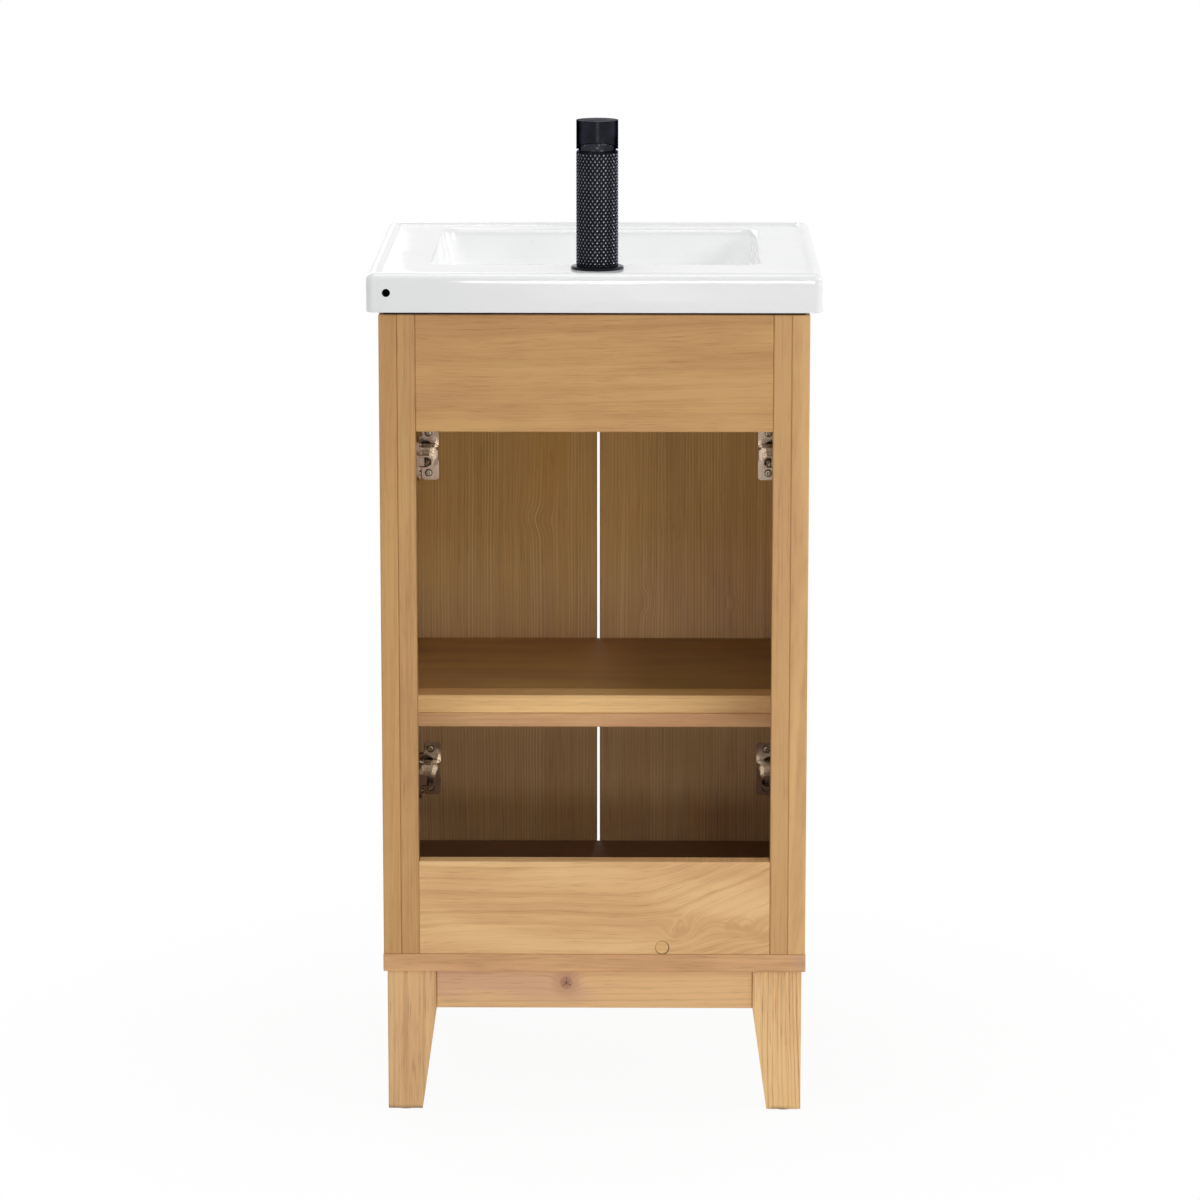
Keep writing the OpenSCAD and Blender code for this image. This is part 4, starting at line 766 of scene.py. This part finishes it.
# The low rail's figure: an eye, and a fork whose stem parts in two
EYE = ((-0.0850, 0.1928), (-0.0925, 0.1965))
FORK_JOINT = (-0.160, 0.1995)
STEM = ((-0.140, 0.2003), FORK_JOINT)
UPPER_TINE = (FORK_JOINT, (-0.181, 0.2130))
LOWER_TINE = (FORK_JOINT, (-0.178, 0.1905))
low_rail = wood("low_rail_wood", "x", "z", heart=-1.0, depth=0.05, tilt=0.012, ring=0.0115, wander=0.042,
                lines=0.50, sharp=0.30, fibre=0.42, dashes=0.22, mottle=0.60, pink=0.6,
                tone=(1.10, 1.13, 1.13), light=(0.655, 0.410, 0.190), dark=(0.490, 0.268, 0.112),
                swirls=((*EYE, 0.0125, 0.024), (*STEM, 0.010, 0.008), (*UPPER_TINE, 0.010, 0.008),
                        (*LOWER_TINE, 0.010, 0.008)),
                rise=(-0.055, -0.36), plug=(-0.0705, 0.1786, 0.0065),
                streaks=((*EYE, 0.0095, AMBER, 0.80), (*STEM, 0.0060, AMBER, 0.60),
                         (*UPPER_TINE, 0.0085, AMBER, 0.60), (*LOWER_TINE, 0.0085, AMBER, 0.60)))
plug_wood = wood("plug_end_wood", "x", "z", heart=0.21, depth=0.02, ring=0.0022, wander=0.003, lines=0.3,
                 fibre=0.3, pink=0.2, light=(0.66, 0.42, 0.185), tone=(1.12, 1.12, 1.08), shift=7.0)
base = wood("base_wood", "x", "y", heart=0.9, ring=0.009, wander=0.012, lines=0.30, fibre=0.56, mottle=0.95,
            pink=0.75, tone=(1.10, 1.12, 1.22),
            streaks=(((-0.205, 0.20), (-0.225, 0.24), 0.012, (0.42, 0.27, 0.16), 0.45),))
apron = wood("apron_wood", "x", "z", heart=-0.9, depth=0.10, tilt=0.05, ring=0.0056, wander=0.014, lines=0.34,
             sharp=0.45, fibre=0.40, dashes=0.50, mottle=0.36, pink=0.8, tone=(1.18, 1.25, 1.40),
             streaks=(((0.170, 0.137), (0.030, 0.137), 0.024, (0.465, 0.258, 0.146), 0.50),),
             blush=(0.600, 0.335, 0.180), knots=((0.0296, 0.1382, 0.0078),),
             swirls=(((0.0276, 0.1382), (0.0316, 0.1382), 0.011, 0.010),))
side_apron = wood("side_apron_wood", "y", "z", heart=-0.9, depth=0.15, ring=0.005, wander=0.010, lines=0.30,
                  fibre=0.35, dashes=0.4, pink=0.6)
left_legs = wood("left_leg_wood", "z", "x", heart=-0.9, depth=0.16, tilt=0.03, ring=0.0095, wander=0.012,
                 lines=0.36, fibre=0.54, pale=0.15, dashes=0.4, mottle=0.80, pink=0.75,
                 tone=(1.15, 1.25, 1.37), feet=True, shift=5.0)
right_legs = wood("right_leg_wood", "z", "x", heart=0.9, depth=0.16, tilt=0.05, ring=0.0047, wander=0.020,
                  lines=0.85, sharp=0.50, fibre=0.54, dashes=0.35, mottle=0.55, pink=0.3,
                  tone=(1.31, 1.46, 1.61), dark=(0.40, 0.205, 0.080), feet=True)
front = wood("front_wood", "x", "z", heart=-0.9, depth=0.14, tilt=0.03, ring=0.0085, wander=0.020, lines=0.28,
             fibre=0.26, pink=0.4)
# the shelf: a lighter tone and a darker right end: painted light, and painted shadow of the right side
shelf = wood("shelf_wood", "x", "y", heart=0.9, ring=0.009, wander=0.010, lines=0.08, fibre=0.10, dashes=0.05,
             mottle=0.25, pink=0.7, light=(0.480, 0.285, 0.100), dark=(0.34, 0.190, 0.068),
             blush=(0.420, 0.235, 0.110), tone=(1.12, 1.15, 1.16),
             painted_light=(0.015, -0.075, (0.70, 0.71, 0.66)), sheen=0.25)
floor_wood = wood("floor_wood", "x", "y", heart=0.9, ring=0.009, wander=0.010, lines=0.08, fibre=0.10,
                  dashes=0.05, mottle=0.20, pink=0.5, light=(0.310, 0.182, 0.104), dark=(0.22, 0.125, 0.074),
                  blush=(0.290, 0.165, 0.105), sheen=0.25)
# the lipping: a lighter tone and a darker right end: painted light, and painted shadow of the right post
lipping = wood("lipping_wood", "x", "z", heart=0.9, ring=0.007, lines=0.16, fibre=0.18, pink=0.3, mottle=0.25,
               light=(0.76, 0.485, 0.215), tone=(1.22, 1.27, 1.22),
               painted_light=(0.030, -0.150, (0.82, 0.76, 0.74)))
pink_rail = wood("pink_rail_wood", "x", "z", heart=-0.9, ring=0.006, wander=0.010, lines=0.26, fibre=0.25,
                 pink=0.9, light=(0.62, 0.375, 0.175), tone=(1.12, 1.12, 1.15), shift=3.0,
                 swirls=(((0.080, 0.371), (0.116, 0.371), 0.012, 0.009),))
inner = wood("inner_wood", "z", "x", heart=0.9, ring=0.006, fibre=0.4, pink=0.5)
cleat = wood("cleat_wood", "y", "x", heart=0.9, ring=0.006, fibre=0.4, pink=0.5)

WORN_BY = {
    left_panel: ["side_panel_left"],
    right_panel: ["side_panel_right"],
    left_post: ["back_post_left"],
    right_post: ["back_post_right"],
    left_door: ["door_left"],
    right_door: ["door_right"],
    top_rail: ["back_top_rail"],
    low_rail: ["back_low_rail"],
    plug_wood: ["rail_plug"],
    base: ["base_board"],
    floor_wood: ["floor_board"],
    shelf: ["shelf_board"],
    lipping: ["shelf_lipping"],
    pink_rail: ["shelf_rail"],
    cleat: ["shelf_cleats"],
    front: ["front_rail", "front_panel"],
    inner: ["corner_blocks"],
    left_legs: ["leg_back_left", "leg_front_left"],
    right_legs: ["leg_back_right", "leg_front_right"],
    apron: ["apron_back"],
    side_apron: ["apron_front", "apron_left", "apron_right"],
    zinc: ["leg_bolts", "stud_washer", "stud_nut", "tap_stud", "drain_nut"],
    nickel: ["hinge_cups_left", "hinge_cups_right", "hinge_arms_left", "hinge_arms_right", "hinge_plates",
             "hinge_pins_left", "hinge_pins_right", "tilt_pin"],
    bright: ["tap_aerator"],
    black: ["tap_ring", "tap_spout", "tap_lever", "drain_flange", "drain_stopper", "drain_body"],
    black_cap: ["tap_cap"],
    black_bright: ["tap_dome"],
    seal: ["sink_seal"],
    washer: ["drain_gasket"],
    glide: ["foot_glides"],
    bumper: ["door_bumpers"],
    valve_plastic: ["tap_cartridge"],
}
for material, names in WORN_BY.items():
    for name in names:
        for held in nodes[name].material_slots:
            held.material = material


# Pieces that take a node's place

def stand_for(piece, body, slot, *replaced):
    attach(piece, body)
    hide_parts(*replaced)
    return piece


sink = basin_top(glazed)
vent_cut = rod("vent_cut", VENT_R, -VENT_DEPTH, VENT_DEPTH, (VENT_X, SLAB_BACK, VENT_Z), glazed,
               steps=40, axis="-y")
tap_cut = rod("tap_cut", TAP_HOLE_R, SLAB_Z - 6, SLAB_TOP + 6, (TAP_X, TAP_Y, 0), glazed, steps=48)
cut(sink, vent_cut, tap_cut)
sink.data.shade_smooth()
sink.data.set_sharp_from_angle(angle=math.radians(GLAZE_SHARP))
stand_for(sink, "root", "white_ceramic", "sink_top")
stand_for(knurled_body(knurl_black), "root", "black_metal", "tap_body")

# Knobs: foot, waist, and a head with a round edge, turned about -Y
KNOB_PROFILE = np.vstack([[(0, 0), (8.0, 0), (8.0, 1.2)], arc(7.2, 1.2, 0.8, 0, 90, 4)[1:], [(6.9, 3.4)],
                          arc(12.5, 11.0, 6.2, 200, 120, 7), [(12.2, 16.6)], arc(12.3, 17.8, 1.2, -70, 0, 5),
                          arc(12.0, 20.5, 1.5, 0, 90, 7), [(4.0, 22.0), (0, 22.0)]])
SIDES = (("left", 1), ("right", -1))
for side, sign in SIDES:
    knob = turned(f"knob_{side}_turned", KNOB_PROFILE, (sign * KNOB_X, DOOR_FACE, KNOB_Z), black,
                  steps=64, axis="-y")
    stand_for(knob, f"door_{side}", "black_metal", f"knob_{side}")

# Screws with cross recesses. Each door: four in the hinge flanges and one long one that holds the knob.
INTO_DOOR = ((1, 0, 0), (0, 0, -1), (0, 1, 0))
INTO_PANEL = {1: ((0, 0, 1), (0, 1, 0), (-1, 0, 0)), -1: ((0, 0, -1), (0, 1, 0), (1, 0, 0))}
flange_screw = cross_screw(length=11, head_r=3.5, head_h=1.7, shank_r=1.5, material=screw_steel)
plate_screw = cross_screw(length=16, head_r=3.0, head_h=1.7, shank_r=1.5, material=screw_steel)
knob_screw = cross_screw(length=30, head_r=4.0, head_h=2.2, shank_r=2.0, material=screw_steel)
for side, sign in SIDES:
    in_door = [(flange_screw, INTO_DOOR, (sign * CUP_SCREW_X, DOOR_BACK + FLANGE_H, z + dz))
               for z in HINGE_Z for dz in (-CUP_SCREW_Z, CUP_SCREW_Z)]
    in_door.append((knob_screw, INTO_DOOR, (sign * KNOB_X, DOOR_BACK, KNOB_Z)))
    screws = set_out(f"door_screws_{side}_cross", in_door, screw_steel)
    stand_for(screws, f"door_{side}", "nickel_steel", f"door_screws_{side}")
in_panels = [(plate_screw, INTO_PANEL[sign], (sign * PLATE_SCREW_X, PLATE_SCREW_Y, z + dz))
             for _, sign in SIDES for z in HINGE_Z for dz in (-PLATE_SCREW_Z, PLATE_SCREW_Z)]
stand_for(set_out("hinge_screws_cross", in_panels, screw_steel), "root", "nickel_steel", "hinge_screws")
for model in (flange_screw, plate_screw, knob_screw):
    bpy.data.objects.remove(model)


# Floor, light and camera

def floor_finish():
    """A plain pale floor: lit like any surface near the cabinet, so that it keeps the shadow, and fading to
    plain white away from it for rays from the camera and for mirror rays."""
    f = Finish("pale_floor")
    xyz = f.axes()
    far = xyz["x"].length(xyz["y"])
    tone = f.noise(f.place, 3.0)
    colour = f.blend(rgba(0.86, 0.86, 0.86), rgba(0.90, 0.90, 0.90), tone)
    lit = f.node("ShaderNodeBsdfDiffuse", None, {"Color": colour})
    glow = f.node("ShaderNodeEmission", None, {"Color": rgba(1, 1, 1), "Strength": 1.0})
    camera_ray = f.node("ShaderNodeLightPath", out="Is Camera Ray")
    mirror_ray = f.node("ShaderNodeLightPath", out="Is Glossy Ray")
    share = far.step(0.30, 0.9, 0.94, 1.0) * camera_ray.maths("MAXIMUM", mirror_ray)
    return f.finished(f.node("ShaderNodeMixShader", None, {0: share, 1: lit, 2: glow}))


def studio_world():
    """A soft even light on the object, and plain white for camera, mirror and glass rays."""
    world = bpy.data.worlds.new("studio")
    world.use_nodes = True
    tree = world.node_tree
    tree.nodes.clear()

    def add(kind, **values):
        made = tree.nodes.new(kind)
        for key, value in values.items():
            made.inputs[key].default_value = value
        return made

    path = add("ShaderNodeLightPath")
    ambient = add("ShaderNodeBackground", Color=rgba(1, 1, 1), Strength=0.37)
    white = add("ShaderNodeBackground", Color=rgba(1, 1, 1), Strength=1.0)
    two = add("ShaderNodeMath")
    all_three = add("ShaderNodeMath")
    two.operation = "MAXIMUM"
    all_three.operation = "MAXIMUM"
    mix = add("ShaderNodeMixShader")
    out = add("ShaderNodeOutputWorld")
    for start, end in ((path.outputs["Is Camera Ray"], two.inputs[0]),
                       (path.outputs["Is Glossy Ray"], two.inputs[1]),
                       (two.outputs[0], all_three.inputs[0]),
                       (path.outputs["Is Transmission Ray"], all_three.inputs[1]),
                       (all_three.outputs[0], mix.inputs[0]),
                       (ambient.outputs[0], mix.inputs[1]),
                       (white.outputs[0], mix.inputs[2]),
                       (mix.outputs[0], out.inputs["Surface"])):
        tree.links.new(start, end)
    return world


FLOOR_REACH = 9000
FLOOR_Z = -0.3
floor = mesh_of("pale_floor", [(x * FLOOR_REACH, y * FLOOR_REACH, FLOOR_Z)
                               for x, y in ((-1, -1), (1, -1), (1, 1), (-1, 1))],
                [np.array([(0, 1, 2, 3)])], floor_finish())
bpy.context.scene.world = studio_world()


def lamp(name, place, aim, size, power, width=None):
    """A soft lamp that points from place to aim: a square one, or with a width a level strip."""
    data = bpy.data.lights.new(name, "AREA")
    data.shape = "RECTANGLE"
    data.size = width or size
    data.size_y = size
    data.energy = power
    made = bpy.data.objects.new(name, data)
    bpy.context.scene.collection.objects.link(made)
    made.location = place
    made.rotation_euler = Vector(np.subtract(aim, place)).to_track_quat("-Z", "Y").to_euler()


# behind the open back: the main light, the tap's right side, and soft light into the cabinet
lamp("key_lamp", (-2.8, 2.2, 2.2), (0, 0, 0.55), size=0.7, power=18.5)
lamp("glint_lamp", (-2.4, 3.2, 2.2), (0, 0.16, 0.95), size=0.25, power=7, width=1.2)
lamp("inner_lamp", (-0.9, 4.1, 1.8), (0, 0, 0.55), size=0.5, power=6)
lamp("low_lamp", (-0.14, 4.2, 0.61), (0, 0.1, 0.7), size=0.3, power=7, width=0.8)
# a thin strip for the bright line along the rim of the top, and a lamp for the tap's left side
lamp("rim_lamp", (0.8, 3.3, 3.6), (0.05, 0.2, 0.88), size=0.07, power=8, width=1.7)
lamp("spark_lamp", (1.6, 3.28, 2.63), (0, 0.16, 0.95), size=0.4, power=2.2)
# near the floor, for the legs
lamp("foot_lamp_right", (-0.75, 1.5, 0.14), (0.05, 0.2, 0.2), size=0.5, power=3.8)
lamp("foot_lamp_left", (0.65, 1.5, 0.14), (-0.05, 0.2, 0.2), size=0.5, power=1.6)
# both sides, above and the front
lamp("right_lamp", (-3.6, -0.4, 1.76), (0, 0.1, 0.9), size=1.3, power=36)
lamp("left_lamp", (2.7, 0.4, 1.5), (0, 0, 0.6), size=0.6, power=5)
lamp("top_lamp", (0.2, 0.3, 3.2), (0, 0, 0.8), size=1.6, power=24)
lamp("front_lamp", (1.2, -3.2, 2.2), (0, 0, 0.5), size=2.0, power=36)

# The photograph's view, from behind: place in metres, lens in millimetres, angles in degrees
CAMERA_PLACE = (-0.0540, 5.0748, 1.5203)
CAMERA_LENS = 144.17
CAMERA_DOWN = 11.3316
CAMERA_ASIDE = 0.5684
camera = bpy.data.objects.new("camera", bpy.data.cameras.new("camera"))
bpy.context.scene.collection.objects.link(camera)
camera.data.lens = CAMERA_LENS
camera.data.sensor_width = 36
camera.location = CAMERA_PLACE
camera.rotation_euler = (math.radians(90 - CAMERA_DOWN), 0, math.radians(180 + CAMERA_ASIDE))
bpy.context.scene.camera = camera
bpy.context.scene.view_settings.view_transform = "Standard"
